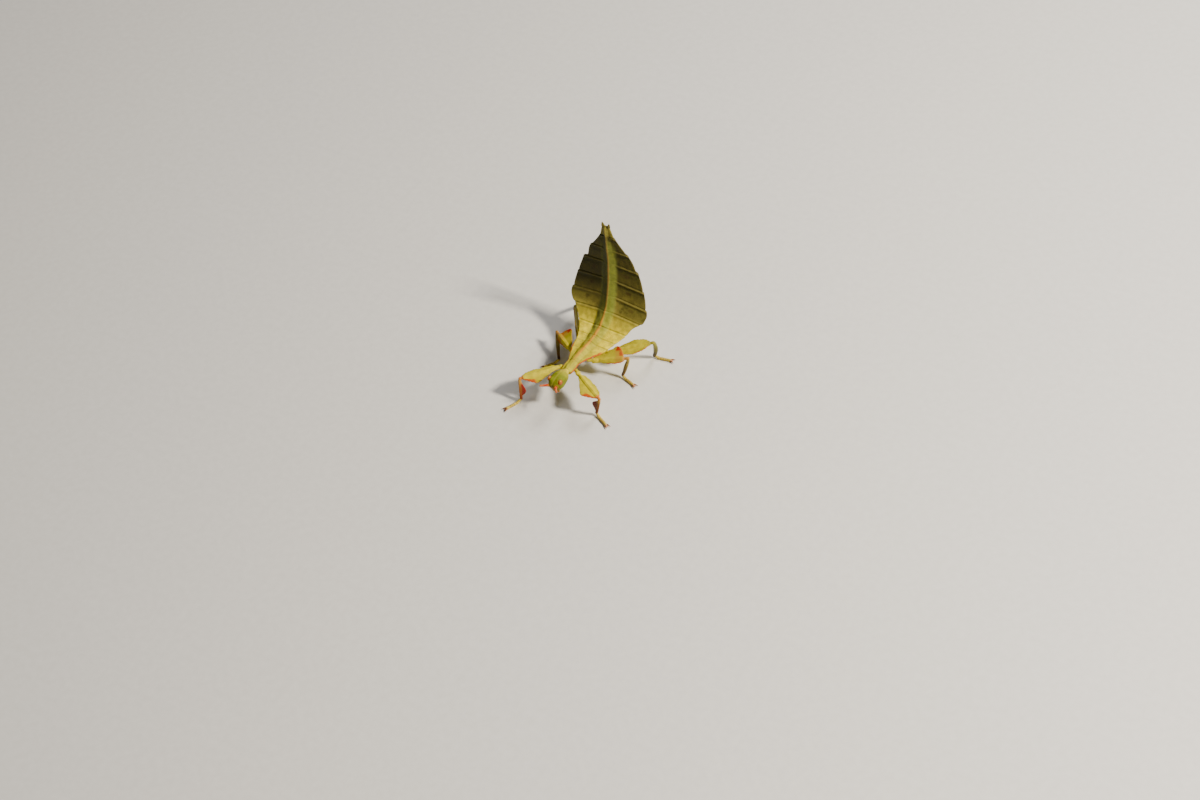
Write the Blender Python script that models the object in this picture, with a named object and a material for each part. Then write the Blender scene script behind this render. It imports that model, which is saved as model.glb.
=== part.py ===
"""Leaf insect nymph, life size, standing on six feet with its leaf-shaped abdomen curled up."""

import math

import bmesh
import bpy
from mathutils import Matrix, Vector

OBJECT_NAME = "leaf_insect"
MM = 0.001

# General sizes in millimetres. X is to the insect's left, -Y is forward, Z is up.
GAP = 0.3
LOBE_THICKNESS = 0.5
EDGE_BEVEL = 0.14
MERGE_DISTANCE = 0.00001
SMOOTH_ANGLE = 40.0
# Place of the lobe's edge among the points of a plate's cross-section.
PLATE_EDGE = 4

# The back runs from the neck to the tip of the abdomen. Each station is a distance
# along the back from the neck and the slope of the back there in degrees.
NECK_Y = -3.03
NECK_Z = 5.07
BACK_STEP = 0.05
SLOPE_STATIONS = (
    (0.0, 11.0),
    (3.0, -3.0),
    (6.0, -6.5),
    (8.5, 8.0),
    (11.0, 40.0),
    (14.0, 67.0),
    (18.0, 76.0),
    (23.0, 87.0),
    (30.0, 87.0),
)

# Plates of the trunk: name, length along the back, half widths at the front, middle
# and rear, half width of the raised core, drop from crest to lobes, full depth.
THORAX = (
    ("pronotum", 2.2, 0.92, 1.02, 0.92, 0.70, 0.26, 1.60),
    ("mesothorax", 3.0, 0.98, 1.62, 2.20, 0.74, 0.40, 1.80),
    ("metathorax", 1.6, 2.22, 2.36, 2.52, 0.95, 0.45, 1.80),
)
ABDOMEN = (
    ("abdomen_2", 1.4, 2.54, 2.74, 3.00, 1.08, 0.46, 1.75),
    ("abdomen_3", 1.75, 3.04, 3.44, 3.94, 1.18, 0.48, 1.70),
    ("abdomen_4", 2.4, 3.98, 4.66, 5.50, 1.32, 0.47, 1.65),
    ("abdomen_5", 2.6, 5.70, 6.62, 6.32, 1.45, 0.44, 1.60),
    ("abdomen_6", 2.75, 6.30, 6.08, 5.66, 1.48, 0.42, 1.55),
    ("abdomen_7", 3.0, 5.62, 5.22, 4.62, 1.42, 0.42, 1.50),
    ("abdomen_8", 2.7, 4.32, 3.84, 3.02, 1.22, 0.40, 1.40),
    ("abdomen_9", 2.6, 2.90, 2.00, 1.24, 0.90, 0.36, 1.25),
    ("abdomen_10", 1.9, 1.16, 0.90, 0.62, 0.44, 0.24, 0.95),
)
PLATE_STATIONS = (0.0, 0.27, 0.54, 0.80)
RIDGE_WIDTH = 0.30
RIDGE_HEIGHT = 0.14
SHOULDER = 0.55
SHOULDER_DROP = 0.15
BELLY_SIDE = 0.92
BELLY_KEEL = 0.55
# On the lobes the segment lines bend towards the head and the surface rises, by a
# part of the distance from the core. Both set in along the front of the abdomen.
LOBE_SWEEP = 0.15
LOBE_CUP = -0.12
BEND_START = 9.5
BEND_FULL = 15.0
# The waist's lobes lie flatter on the insect's left, so they reach out farther there.
LEFT_REACH = 0.55
REACH_SPAN = (3.5, 6.5, 9.5, 13.0)

TUBERCLE_COUNT = 5
TUBERCLE_RADIUS = 0.24
TUBERCLE_SEGMENTS = 8
TUBERCLE_RINGS = 6
TUBERCLE_INSET = 0.05
TUBERCLE_DROP = 0.10

CERCUS_LENGTH = 0.6
CERCUS_RADIUS = 0.26
CERCUS_SPACING = 0.50
CERCUS_SPLAY = 0.10
CERCUS_DROP = 0.45
CERCUS_PROFILE = ((0.0, 0.8), (0.3, 1.0), (0.65, 0.8), (1.0, 0.35))

# Head rings: distance forward of the neck, centre height over the neck's centre,
# half width, half height, and nod of the ring in degrees.
HEAD_NECK_DROP = 0.17
HEAD_RINGS = (
    (0.00, 0.00, 0.66, 0.58, 0.0),
    (0.40, 0.04, 0.94, 0.80, 2.0),
    (1.10, 0.08, 1.12, 0.99, 6.0),
    (1.90, 0.06, 1.16, 1.10, 12.0),
    (2.60, -0.06, 1.05, 1.12, 18.0),
    (3.05, -0.18, 0.85, 0.98, 22.0),
    (3.32, -0.26, 0.60, 0.74, 24.0),
    (3.44, -0.32, 0.32, 0.44, 25.0),
)
HEAD_SIDES = 20
LIP_FORWARD = 2.95
LIP_DROP = 0.98
LIP_RADIUS = 0.45
LIP_STRETCH = (1.15, 0.8, 0.9)
MOUTH_FORWARD = 3.10
MOUTH_DROP = 0.78
MOUTH_RADIUS = 0.55
MOUTH_STRETCH = (1.2, 1.0, 0.13)
PALP_SPREAD = 0.42
PALP_FORWARD = 2.35
PALP_DROP = 0.90
PALP_WAY = (0.16, -0.55, -0.25)
PALP_PROFILE = ((0.0, 0.25), (0.5, 0.25), (0.85, 0.24), (1.0, 0.14))

EYE_RADIUS = 0.36
EYE_SPREAD = 0.98
EYE_FORWARD = 2.60
EYE_HEIGHT = 0.78
EYE_SEGMENTS = 16
EYE_RINGS = 10
SOCKET_CLEARANCE = 0.17
EYE_STRETCH = (0.8, 1.0, 1.05)
SOCKET_STRETCH = (0.9, 1.0, 1.03)

ANTENNA_LENGTH = 1.65
ANTENNA_RADIUS = 0.25
ANTENNA_TIP_RADIUS = 0.16
ANTENNA_SEGMENTS = 7
ANTENNA_SPREAD = 0.46
ANTENNA_FORWARD = 3.36
ANTENNA_HEIGHT = 0.26
ANTENNA_WAY = (1.4, -1.6, 0.7)
ANTENNA_SOCKET_RADIUS = 0.50
BEAD_PROFILE = ((0.05, 0.86), (0.6, 1.0), (0.95, 0.9))

# Legs. Positions are for the insect's left side; the right side mirrors X.
LEG_KINDS = {
    "fore": {
        "root": (1.38, -2.07, 4.20), "hip": (1.70, -2.30, 4.28),
        "femur": 6.4, "tibia": 4.0, "tarsus": 2.8,
    },
    "mid": {
        "root": (1.55, 1.67, 3.42), "hip": (2.50, 1.99, 3.40),
        "femur": 5.03, "tibia": 4.4, "tarsus": 2.6,
    },
    "hind": {
        "root": (1.75, 4.00, 2.98), "hip": (2.70, 4.45, 3.04),
        "femur": 7.5, "tibia": 4.9, "tarsus": 2.8,
    },
}
HIP_CLEARANCE = 0.42
# The stance: headings of femur, tibia and tarsus in degrees from +X, the femur's
# climb and the roll of its blade.
STANCE = {
    "fore_right": {"femur": -130.0, "climb": 2.0, "tibia": -83.0, "tarsus": -116.0, "roll": 0.0},
    "fore_left": {"femur": -28.0, "climb": 1.0, "tibia": 172.0, "tarsus": -26.0, "roll": 0.0},
    "mid_right": {"femur": 149.6, "climb": -2.8, "tibia": -57.0, "tarsus": -125.0, "roll": -32.0},
    "mid_left": {"femur": 17.9, "climb": 15.3, "tibia": 194.0, "tarsus": -17.0, "roll": 25.0},
    "hind_right": {"femur": 127.0, "climb": 0.8, "tibia": 76.0, "tarsus": 100.0, "roll": 80.0},
    "hind_left": {"femur": 26.0, "climb": 16.6, "tibia": 133.0, "tarsus": 10.0, "roll": 0.0},
}
# Blades of the femora: for the leading and the trailing lobe its width, the place of
# its widest point along the femur, how full it stays from there to the knee, and the
# share of its width that it already has at the root.
FEMUR_LOBES = {
    "fore": {"lead": (1.40, 0.70, 1.1, 0.08), "trail": (0.46, 0.55, 2.2, 0.75)},
    "mid": {"lead": (0.25, 0.60, 2.2, 0.50), "trail": (1.62, 0.72, 1.6, 0.22)},
    "hind": {"lead": (1.10, 0.50, 2.2, 0.12), "trail": (0.88, 0.60, 2.6, 0.20)},
}
LOBE_ROOT_SPAN = 0.12
FEMUR_CORE = 0.36
FEMUR_BASE_CORE = 0.30
FEMUR_HALF_HEIGHT = 0.42
FEMUR_END_HALF_HEIGHT = 0.30
FEMUR_RINGS = 15
LOBE_MARGIN = 0.06
TOOTH_HEIGHT = 0.10

TIBIA_RADIUS = 0.26
TIBIA_RINGS = 11
TIBIA_LOBE_START = 0.15
TIBIA_LOBE_SPAN = 0.75
TIBIA_LOBE = {"fore": 0.75, "mid": 0.16, "hind": 0.16}
TIBIA_BOW = {"fore": 0.0, "mid": 0.15, "hind": 0.35}

ANKLE_HEIGHT = 0.56
TARSUS_RADIUS = 0.27
TARSUS_SIDES = 8
SOLE_HEIGHT = 0.22
TARSOMERE_ENDS = (0.0, 0.36, 0.50, 0.62, 0.72, 1.0)
TARSOMERE_PROFILE = ((0.04, 0.84), (0.55, 0.98), (0.92, 1.04))
# The first part of the foot slopes from the ankle down to the level of the sole.
TARSUS_LANDING = 0.33

CLAW_LENGTH = 0.75
CLAW_SETBACK = 0.25
CLAW_ROOT_SPREAD = 0.08
CLAW_SPLAY = 0.30
CLAW_RISE = 0.08
CLAW_DROP = 0.14
CLAW_PROFILE = ((0.0, 0.16), (0.35, 0.14), (0.7, 0.10), (1.0, 0.04))

COXA_RADIUS = 0.40
COXA_PROFILE = ((0.0, 0.7), (0.2, 1.0), (0.6, 1.0), (1.0, 0.66))

# Colours as linear red, green and blue.
COLOURS = {
    "thorax_green": (0.42, 0.46, 0.06),
    "abdomen_green": (0.20, 0.27, 0.035),
    "tip_green": (0.30, 0.38, 0.07),
    "head_green": (0.30, 0.36, 0.05),
    "eye_cream": (0.70, 0.38, 0.22),
    "antenna_pink": (0.62, 0.20, 0.12),
    "leg_green": (0.42, 0.44, 0.06),
    "tibia_brown": (0.30, 0.16, 0.04),
    "foot_yellow": (0.55, 0.42, 0.12),
}
SKIN_ROUGHNESS = 0.55
EYE_ROUGHNESS = 0.25


def clear_scene():
    """Remove everything that is in the scene."""
    for item in list(bpy.data.objects):
        bpy.data.objects.remove(item, do_unlink=True)


def make_collection(name):
    """Make a collection and link it to the scene."""
    collection = bpy.data.collections.new(name)
    bpy.context.scene.collection.children.link(collection)
    return collection


def make_material(name):
    """Make one plain material for a sub-part."""
    material = bpy.data.materials.new(name)
    material.use_nodes = True
    shader = material.node_tree.nodes["Principled BSDF"]
    shader.inputs["Base Color"].default_value = (*COLOURS[name], 1.0)
    shader.inputs["Roughness"].default_value = EYE_ROUGHNESS if name == "eye_cream" else SKIN_ROUGHNESS
    shader.inputs["Metallic"].default_value = 0.0
    return material


def ease(t):
    """Smooth step from 0 to 1."""
    t = min(max(t, 0.0), 1.0)
    return t * t * (3.0 - 2.0 * t)


def blend(low, high, t):
    """Value part of the way from low to high."""
    return low + (high - low) * t


def slope_at(s):
    """Slope of the back in radians at a distance from the neck."""
    for (start, slope), (end, next_slope) in zip(SLOPE_STATIONS, SLOPE_STATIONS[1:]):
        if s <= end:
            return math.radians(blend(slope, next_slope, ease((s - start) / (end - start))))
    return math.radians(SLOPE_STATIONS[-1][1])


def back_frame(s):
    """Frame on the back: X across, Y along the back, Z out of it."""
    steps = max(1, round(abs(s) / BACK_STEP))
    stride = s / steps
    y = NECK_Y
    z = NECK_Z
    for step in range(steps):
        slope = slope_at((step + 0.5) * stride)
        y += stride * math.cos(slope)
        z += stride * math.sin(slope)
    return Matrix.Translation((0.0, y, z)) @ Matrix.Rotation(slope_at(s), 4, "X")


def plate_ring(frame, right, left, core, rise, depth, lift=0.0, sweep=0.0, cup=0.0):
    """Cross-section of a lobed plate, from the crest round by +X and back."""
    lobe_top = lift - rise
    lobe_bottom = -rise - LOBE_THICKNESS
    depth = max(depth, rise + LOBE_THICKNESS)
    half = []
    for width in (right, left):
        bevel = min(EDGE_BEVEL, 0.45 * (width - core))
        half.append((
            (SHOULDER * core, lift - SHOULDER_DROP * rise),
            (core, lobe_top),
            (width - bevel, lobe_top),
            (width, 0.5 * (lobe_top + lobe_bottom)),
            (width - bevel, lobe_bottom),
            (core, lobe_bottom),
            (BELLY_SIDE * core, 0.5 * (lobe_bottom - depth)),
            (BELLY_KEEL * core, -depth),
        ))
    points = [(0.0, lift)]
    points += half[0]
    points.append((0.0, -depth))
    points += [(-x, z) for x, z in reversed(half[1])]
    ring = []
    for x, z in points:
        out = max(0.0, abs(x) - core)
        ring.append(frame @ Vector((x, -sweep * out, z + cup * out)))
    return ring


def round_ring(frame, half_width, half_height, sides):
    """Oval cross-section with flats above and below."""
    ring = []
    for side in range(sides):
        angle = 2.0 * math.pi * (side + 0.5) / sides
        ring.append(frame @ Vector((half_width * math.sin(angle), 0.0, half_height * math.cos(angle))))
    return ring


def loft(name, rings, material, collection):
    """Skin between rings of equal count, split alike above and below, with closed ends."""
    mesh = bpy.data.meshes.new(name)
    shape = bmesh.new()
    count = len(rings[0])
    rows = [[shape.verts.new(point * MM) for point in ring] for ring in rings]
    for row, next_row in zip(rows, rows[1:]):
        for side in range(count):
            after = (side + 1) % count
            below = PLATE_EDGE <= side < count - PLATE_EDGE
            corners = (row[side], row[after], next_row[after], next_row[side])
            if below:
                corners = corners[1:] + corners[:1]
            shape.faces.new((corners[0], corners[1], corners[2]))
            shape.faces.new((corners[0], corners[2], corners[3]))
    shape.faces.new(rows[0])
    shape.faces.new(rows[-1])
    bmesh.ops.recalc_face_normals(shape, faces=shape.faces)
    shape.to_mesh(mesh)
    shape.free()
    return add_object(name, mesh, material, collection)


def add_object(name, mesh, material, collection):
    """Put a mesh in a collection under one name with one material."""
    item = bpy.data.objects.new(name, mesh)
    mesh.materials.append(material)
    mesh.shade_smooth()
    mesh.set_sharp_from_angle(angle=math.radians(SMOOTH_ANGLE))
    collection.objects.link(item)
    return item


def sphere(name, centre, radius, segments, rings, material, collection, stretch=(1.0, 1.0, 1.0)):
    """A stretched ball."""
    mesh = bpy.data.meshes.new(name)
    shape = bmesh.new()
    bmesh.ops.create_uvsphere(shape, u_segments=segments, v_segments=rings, radius=radius * MM)
    placed = Matrix.Translation(Vector(centre) * MM) @ Matrix.Diagonal((*stretch, 1.0))
    bmesh.ops.transform(shape, matrix=placed, verts=shape.verts)
    shape.to_mesh(mesh)
    shape.free()
    return add_object(name, mesh, material, collection)


def keep_largest(item):
    """Keep only the largest closed surface of a mesh object."""
    shape = bmesh.new()
    shape.from_mesh(item.data)
    bmesh.ops.remove_doubles(shape, verts=shape.verts, dist=MERGE_DISTANCE)
    unseen = set(shape.verts)
    largest = []
    while unseen:
        queue = [unseen.pop()]
        island = list(queue)
        while queue:
            vertex = queue.pop()
            for edge in vertex.link_edges:
                other = edge.other_vert(vertex)
                if other in unseen:
                    unseen.remove(other)
                    queue.append(other)
                    island.append(other)
        if len(island) > len(largest):
            largest = island
    kept = set(largest)
    loose = [vertex for vertex in shape.verts if vertex not in kept]
    bmesh.ops.delete(shape, geom=loose, context="VERTS")
    bmesh.ops.recalc_face_normals(shape, faces=shape.faces)
    shape.to_mesh(item.data)
    shape.free()


def apply_boolean(item, others, operation):
    """Join the other objects to an item, or cut them from it, and remove them."""
    gathered = bpy.data.collections.new(item.name + "_pieces")
    for other in others:
        gathered.objects.link(other)
    step = item.modifiers.new(operation.lower(), "BOOLEAN")
    step.operation = operation
    step.operand_type = "COLLECTION"
    step.collection = gathered
    step.solver = "EXACT"
    bpy.context.view_layer.update()
    evaluated = item.evaluated_get(bpy.context.evaluated_depsgraph_get())
    joined = bpy.data.meshes.new_from_object(evaluated)
    item.modifiers.clear()
    item.data = joined
    for other in others:
        bpy.data.objects.remove(other, do_unlink=True)
    bpy.data.collections.remove(gathered)
    keep_largest(item)
    item.data.shade_smooth()
    item.data.set_sharp_from_angle(angle=math.radians(SMOOTH_ANGLE))
    return item


def plate_width(plate, t):
    """Half width of a plate at a part of its length, a curve through three stations."""
    front, middle, rear = plate[2:5]
    bulge = 4.0 * (middle - 0.5 * (front + rear))
    return blend(front, rear, t) + bulge * t * (1.0 - t)


def trunk_plate(plate, next_plate, start, ridged, material, collection):
    """One plate of thorax or abdomen, with a raised line along its rear edge."""
    name, length, _, _, _, core, rise, depth = plate
    first = 0.5 * GAP / length
    last = 1.0 - first
    ridge = RIDGE_WIDTH / length
    field = last - 2.0 * ridge
    stations = [blend(first, field, part) for part in PLATE_STATIONS] + [field, last - ridge, last]
    ring_list = []
    for index, t in enumerate(stations):
        lift = RIDGE_HEIGHT if ridged and index == len(stations) - 2 else 0.0
        if ridged and index == len(stations) - 1:
            lift = 0.5 * RIDGE_HEIGHT
        width = plate_width(plate, t)
        s = start + t * length
        bend = ease((s - BEND_START) / (BEND_FULL - BEND_START))
        left_width = width + LEFT_REACH * ease((s - REACH_SPAN[0]) / (REACH_SPAN[1] - REACH_SPAN[0]))
        left_width -= LEFT_REACH * ease((s - REACH_SPAN[2]) / (REACH_SPAN[3] - REACH_SPAN[2]))
        ring_list.append(plate_ring(
            back_frame(s), left_width, width, blend(core, next_plate[5], t), blend(rise, next_plate[6], t),
            blend(depth, next_plate[7], t), lift, LOBE_SWEEP * bend, LOBE_CUP * bend))
    return loft(name, ring_list, material, collection)


def make_trunk(materials, collection):
    """Thorax and abdomen, plate after plate along the back."""
    plates = THORAX + ABDOMEN
    start = 0.0
    for index, plate in enumerate(plates):
        next_plate = plates[min(index + 1, len(plates) - 1)]
        colour = "thorax_green" if plate in THORAX else "abdomen_green"
        if plate is ABDOMEN[-1]:
            colour = "tip_green"
        item = trunk_plate(plate, next_plate, start, plate in ABDOMEN, materials[colour], collection)
        if plate[0] == "mesothorax":
            add_tubercles(item, plate, start, materials[colour], collection)
        start += plate[1]
    return start


def add_tubercles(item, plate, start, material, collection):
    """Small bumps along both margins of the mesothorax."""
    bumps = []
    for number in range(TUBERCLE_COUNT):
        t = (number + 0.75) / (TUBERCLE_COUNT + 0.5)
        frame = back_frame(start + t * plate[1])
        for side in (-1.0, 1.0):
            out = plate_width(plate, t) - TUBERCLE_INSET
            centre = frame @ Vector((side * out, 0.0, -plate[6] - TUBERCLE_DROP))
            bumps.append(sphere(
                "tubercle", centre, TUBERCLE_RADIUS, TUBERCLE_SEGMENTS, TUBERCLE_RINGS, material, collection))
    return apply_boolean(item, bumps, "UNION")


def head_frame(forward, height, nod):
    """Frame in the head: Y forward, X across, turned down by the nod."""
    place = Vector((0.0, NECK_Y - GAP - forward, NECK_Z - HEAD_NECK_DROP + height))
    turn = Matrix.Rotation(math.pi, 4, "Z") @ Matrix.Rotation(-math.radians(nod), 4, "X")
    return Matrix.Translation(place) @ turn


def head_point(side, forward, height):
    """A point in the head, measured from the neck."""
    return Vector((side, NECK_Y - GAP - forward, NECK_Z - HEAD_NECK_DROP + height))


def make_head(materials, collection):
    """Head capsule with its lower lip and two palps."""
    rings = [round_ring(head_frame(forward, height, nod), wide, tall, HEAD_SIDES)
             for forward, height, wide, tall, nod in HEAD_RINGS]
    skin = materials["head_green"]
    head = loft("head", rings, skin, collection)
    lip = head_point(0.0, LIP_FORWARD, -LIP_DROP)
    pieces = [sphere("lip", lip, LIP_RADIUS, 12, 8, skin, collection, LIP_STRETCH)]
    for side in (-1.0, 1.0):
        root = head_point(side * PALP_SPREAD, PALP_FORWARD, -PALP_DROP)
        tip = root + mirrored(PALP_WAY, side)
        palp = [round_ring(Matrix.Translation(root.lerp(tip, t)), radius, radius, 8)
                for t, radius in PALP_PROFILE]
        pieces.append(loft("palp", palp, skin, collection))
    return apply_boolean(head, pieces, "UNION")


def antenna_root(side):
    """Where a feeler starts."""
    return head_point(side * ANTENNA_SPREAD, ANTENNA_FORWARD, ANTENNA_HEIGHT)


def cut_face(head, materials, cutters):
    """Cut the eye sockets, the feelers' pits and the line of the mouth into the head."""
    skin = materials["head_green"]
    mouth = head_point(0.0, MOUTH_FORWARD, -MOUTH_DROP)
    pieces = [sphere("mouth", mouth, MOUTH_RADIUS, 16, 8, skin, cutters, MOUTH_STRETCH)]
    for side in (1.0, -1.0):
        eye = head_point(side * EYE_SPREAD, EYE_FORWARD, EYE_HEIGHT)
        pieces.append(sphere("socket", eye, EYE_RADIUS + SOCKET_CLEARANCE, EYE_SEGMENTS, EYE_RINGS,
                             skin, cutters, SOCKET_STRETCH))
        pieces.append(sphere("pit", antenna_root(side), ANTENNA_SOCKET_RADIUS, 12, 8, skin, cutters))
    for piece in pieces:
        piece.hide_render = True
        piece.display_type = "WIRE"
    apply_boolean(head, pieces, "DIFFERENCE")


def make_eyes(materials, collection):
    """Two round eyes that sit in the head's sockets."""
    for side, word in ((1.0, "left"), (-1.0, "right")):
        centre = head_point(side * EYE_SPREAD, EYE_FORWARD, EYE_HEIGHT)
        sphere("eye_" + word, centre, EYE_RADIUS, EYE_SEGMENTS, EYE_RINGS,
               materials["eye_cream"], collection, EYE_STRETCH)


def make_antennae(materials, collection):
    """Two short beaded feelers, spread from the front of the face."""
    for side, word in ((1.0, "left"), (-1.0, "right")):
        root = antenna_root(side)
        direction = mirrored(ANTENNA_WAY, side).normalized()
        turn = direction.to_track_quat("Y", "Z").to_matrix().to_4x4()
        rings = []
        for bead in range(ANTENNA_SEGMENTS):
            for part, swell in BEAD_PROFILE:
                t = (bead + part) / ANTENNA_SEGMENTS
                radius = blend(ANTENNA_RADIUS, ANTENNA_TIP_RADIUS, t) * swell
                frame = Matrix.Translation(root + direction * t * ANTENNA_LENGTH) @ turn
                rings.append(round_ring(frame, radius, radius, 8))
        loft("antenna_" + word, rings, materials["antenna_pink"], collection)


def make_cerci(tip, materials, collection):
    """Two short pegs at the tip of the abdomen."""
    frame = back_frame(tip)
    for side, word in ((1.0, "left"), (-1.0, "right")):
        rings = []
        for t, swell in CERCUS_PROFILE:
            out = side * (CERCUS_SPACING + CERCUS_SPLAY * t)
            place = Matrix.Translation((out, 0.5 * GAP + t * CERCUS_LENGTH, -CERCUS_DROP))
            rings.append(round_ring(frame @ place, CERCUS_RADIUS * swell, CERCUS_RADIUS * swell, 8))
        loft("cercus_" + word, rings, materials["tip_green"], collection)


def heading_vector(heading, climb=0.0):
    """Unit vector from a heading and a climb in degrees."""
    flat = math.cos(math.radians(climb))
    return Vector((flat * math.cos(math.radians(heading)), flat * math.sin(math.radians(heading)),
                   math.sin(math.radians(climb))))


def limb_frame(place, direction, roll=0.0):
    """Frame on a limb: Y along it, X level to its side, Z upward, rolled about Y."""
    across = direction.cross(Vector((0.0, 0.0, 1.0))).normalized()
    upward = across.cross(direction)
    turn = Matrix((across, direction, upward)).transposed().to_4x4()
    return Matrix.Translation(place) @ turn @ Matrix.Rotation(math.radians(roll), 4, "Y")


def mirrored(place, side):
    """A place given for the insect's left, on the wanted side."""
    return Vector((side * place[0], place[1], place[2]))


def leg_joints(kind, word, side):
    """Hip, knee, ankle and toe of one leg."""
    sizes = LEG_KINDS[kind]
    stance = STANCE[kind + "_" + word]
    hip = mirrored(sizes["hip"], side)
    knee = hip + heading_vector(stance["femur"], stance["climb"]) * sizes["femur"]
    drop = knee.z - ANKLE_HEIGHT
    reach = math.sqrt(sizes["tibia"] ** 2 - drop ** 2)
    ankle = knee + heading_vector(stance["tibia"]) * reach
    ankle.z = ANKLE_HEIGHT
    toe = ankle + heading_vector(stance["tarsus"]) * sizes["tarsus"]
    toe.z = SOLE_HEIGHT
    return hip, knee, ankle, toe


def knee_setback(femur_way, tibia_way):
    """How far the femur stops short of the knee so that the folded tibia stays clear."""
    fold = math.acos(max(-1.0, min(1.0, -femur_way.dot(tibia_way))))
    clear = TIBIA_RADIUS + GAP
    folded = (clear + FEMUR_END_HALF_HEIGHT * math.cos(fold)) / math.sin(fold)
    return max(clear, folded)


def lobe_width(t, lobe):
    """Width of a femur lobe: a slow rise to its peak and a fall to the knee."""
    width, peak, fullness, root = lobe
    if t < peak:
        return width * blend(root * ease(t / LOBE_ROOT_SPAN), 1.0, ease(t / peak))
    return width * (1.0 - ((t - peak) / (1.0 - peak)) ** fullness)


def make_femur(name, kind, hip, knee, setback, roll, side, material, collection):
    """Thigh: a slim core between two leafy lobes with toothed edges near the knee."""
    way = (knee - hip).normalized()
    end = (knee - hip).length - setback
    rings = []
    for index in range(FEMUR_RINGS):
        t = index / (FEMUR_RINGS - 1)
        core = blend(FEMUR_BASE_CORE, FEMUR_CORE, ease(3.0 * t))
        height = blend(FEMUR_HALF_HEIGHT, FEMUR_END_HALF_HEIGHT, ease(t))
        tooth = TOOTH_HEIGHT * (index % 2) * ease(4.0 * (t - 0.5)) * (t < 0.97)
        lead = core + LOBE_MARGIN + lobe_width(t, FEMUR_LOBES[kind]["lead"]) + tooth
        trail = core + LOBE_MARGIN + lobe_width(t, FEMUR_LOBES[kind]["trail"]) + tooth
        plus, minus = (lead, trail) if side > 0.0 else (trail, lead)
        place = hip + way * blend(HIP_CLEARANCE, end, t)
        frame = limb_frame(place, way, roll) @ Matrix.Translation((0.0, 0.0, height))
        rise = height - 0.5 * LOBE_THICKNESS
        rings.append(plate_ring(frame, plus, minus, core, rise, 2.0 * height))
    return loft(name, rings, material, collection)


def make_tibia(name, kind, knee, ankle, femur_way, side, material, collection):
    """Shin: round at the knee, with a lobe along its inner side."""
    way = (ankle - knee).normalized()
    inward = Vector((-side, 0.0, 0.0))
    inward = (inward - way * inward.dot(way)).normalized()
    turn = Matrix((inward, way, inward.cross(way))).transposed().to_4x4()
    end = (ankle - knee).length - TARSUS_RADIUS - GAP
    rings = []
    for index in range(TIBIA_RINGS):
        t = index / (TIBIA_RINGS - 1)
        radius = TIBIA_RADIUS * min(1.0, 0.55 + 3.0 * t, 0.75 + 2.5 * (1.0 - t))
        along = min(1.0, max(0.0, (t - TIBIA_LOBE_START) / TIBIA_LOBE_SPAN))
        lobe = TIBIA_LOBE[kind] * math.sin(math.pi * along) ** 1.5
        bow = femur_way * TIBIA_BOW[kind] * math.sin(math.pi * t)
        frame = Matrix.Translation(knee + way * t * end + bow) @ turn
        ring = round_ring(Matrix.Identity(4), radius, radius, 8)
        for point in ring:
            if point.x > 0.5 * radius:
                point.x += lobe
        rings.append([frame @ point for point in ring])
    return loft(name, rings, material, collection)


def make_tarsus(name, ankle, toe, material, collection):
    """Foot of five segments with two claws, flat below where it rests on the floor."""
    flat_way = Vector((toe.x - ankle.x, toe.y - ankle.y, 0.0))
    length = flat_way.length
    flat_way.normalize()
    rings = []
    for number, (start, end) in enumerate(zip(TARSOMERE_ENDS, TARSOMERE_ENDS[1:])):
        for part, swell in TARSOMERE_PROFILE:
            t = blend(start, end, part)
            sink = ease(t / TARSUS_LANDING)
            height = blend(ankle.z, SOLE_HEIGHT, sink)
            place = Vector((ankle.x, ankle.y, 0.0)) + flat_way * t * length
            place.z = height
            radius = TARSUS_RADIUS * swell
            ring = round_ring(limb_frame(place, flat_way), radius, radius, TARSUS_SIDES)
            for point in ring:
                point.z = max(point.z, 0.0)
            rings.append(ring)
    foot = loft(name, rings, material, collection)
    claws = []
    for side in (-1.0, 1.0):
        claw = []
        for t, radius in CLAW_PROFILE:
            out = side * (CLAW_ROOT_SPREAD + CLAW_SPLAY * t)
            along = CLAW_LENGTH * t - CLAW_SETBACK
            centre = limb_frame(toe, flat_way) @ Vector((out, along, CLAW_RISE - CLAW_DROP * t * t))
            ring = round_ring(limb_frame(centre, flat_way), radius, radius, 6)
            for point in ring:
                point.z = max(point.z, 0.0)
            claw.append(ring)
        claws.append(loft("claw", claw, material, collection))
    return apply_boolean(foot, claws, "UNION")


def make_coxa(name, root, hip, material, collection):
    """Short hip piece between the trunk and the femur."""
    way = (hip - root).normalized()
    rings = []
    for t, swell in COXA_PROFILE:
        radius = COXA_RADIUS * swell
        rings.append(round_ring(limb_frame(root.lerp(hip, t), way), radius, radius, 10))
    return loft(name, rings, material, collection)


def make_leg(kind, side, word, materials, collection):
    """One leg of four nodes."""
    hip, knee, ankle, toe = leg_joints(kind, word, side)
    root = mirrored(LEG_KINDS[kind]["root"], side)
    femur_way = (knee - hip).normalized()
    tibia_way = (ankle - knee).normalized()
    label = kind + "_" + word
    make_coxa("coxa_" + label, root, hip, materials["leg_green"], collection)
    make_femur("femur_" + label, kind, hip, knee, knee_setback(femur_way, tibia_way),
               STANCE[label]["roll"], side, materials["leg_green"], collection)
    make_tibia("tibia_" + label, kind, knee, ankle, femur_way, side, materials["tibia_brown"], collection)
    make_tarsus("tarsus_" + label, ankle, toe, materials["foot_yellow"], collection)


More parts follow.
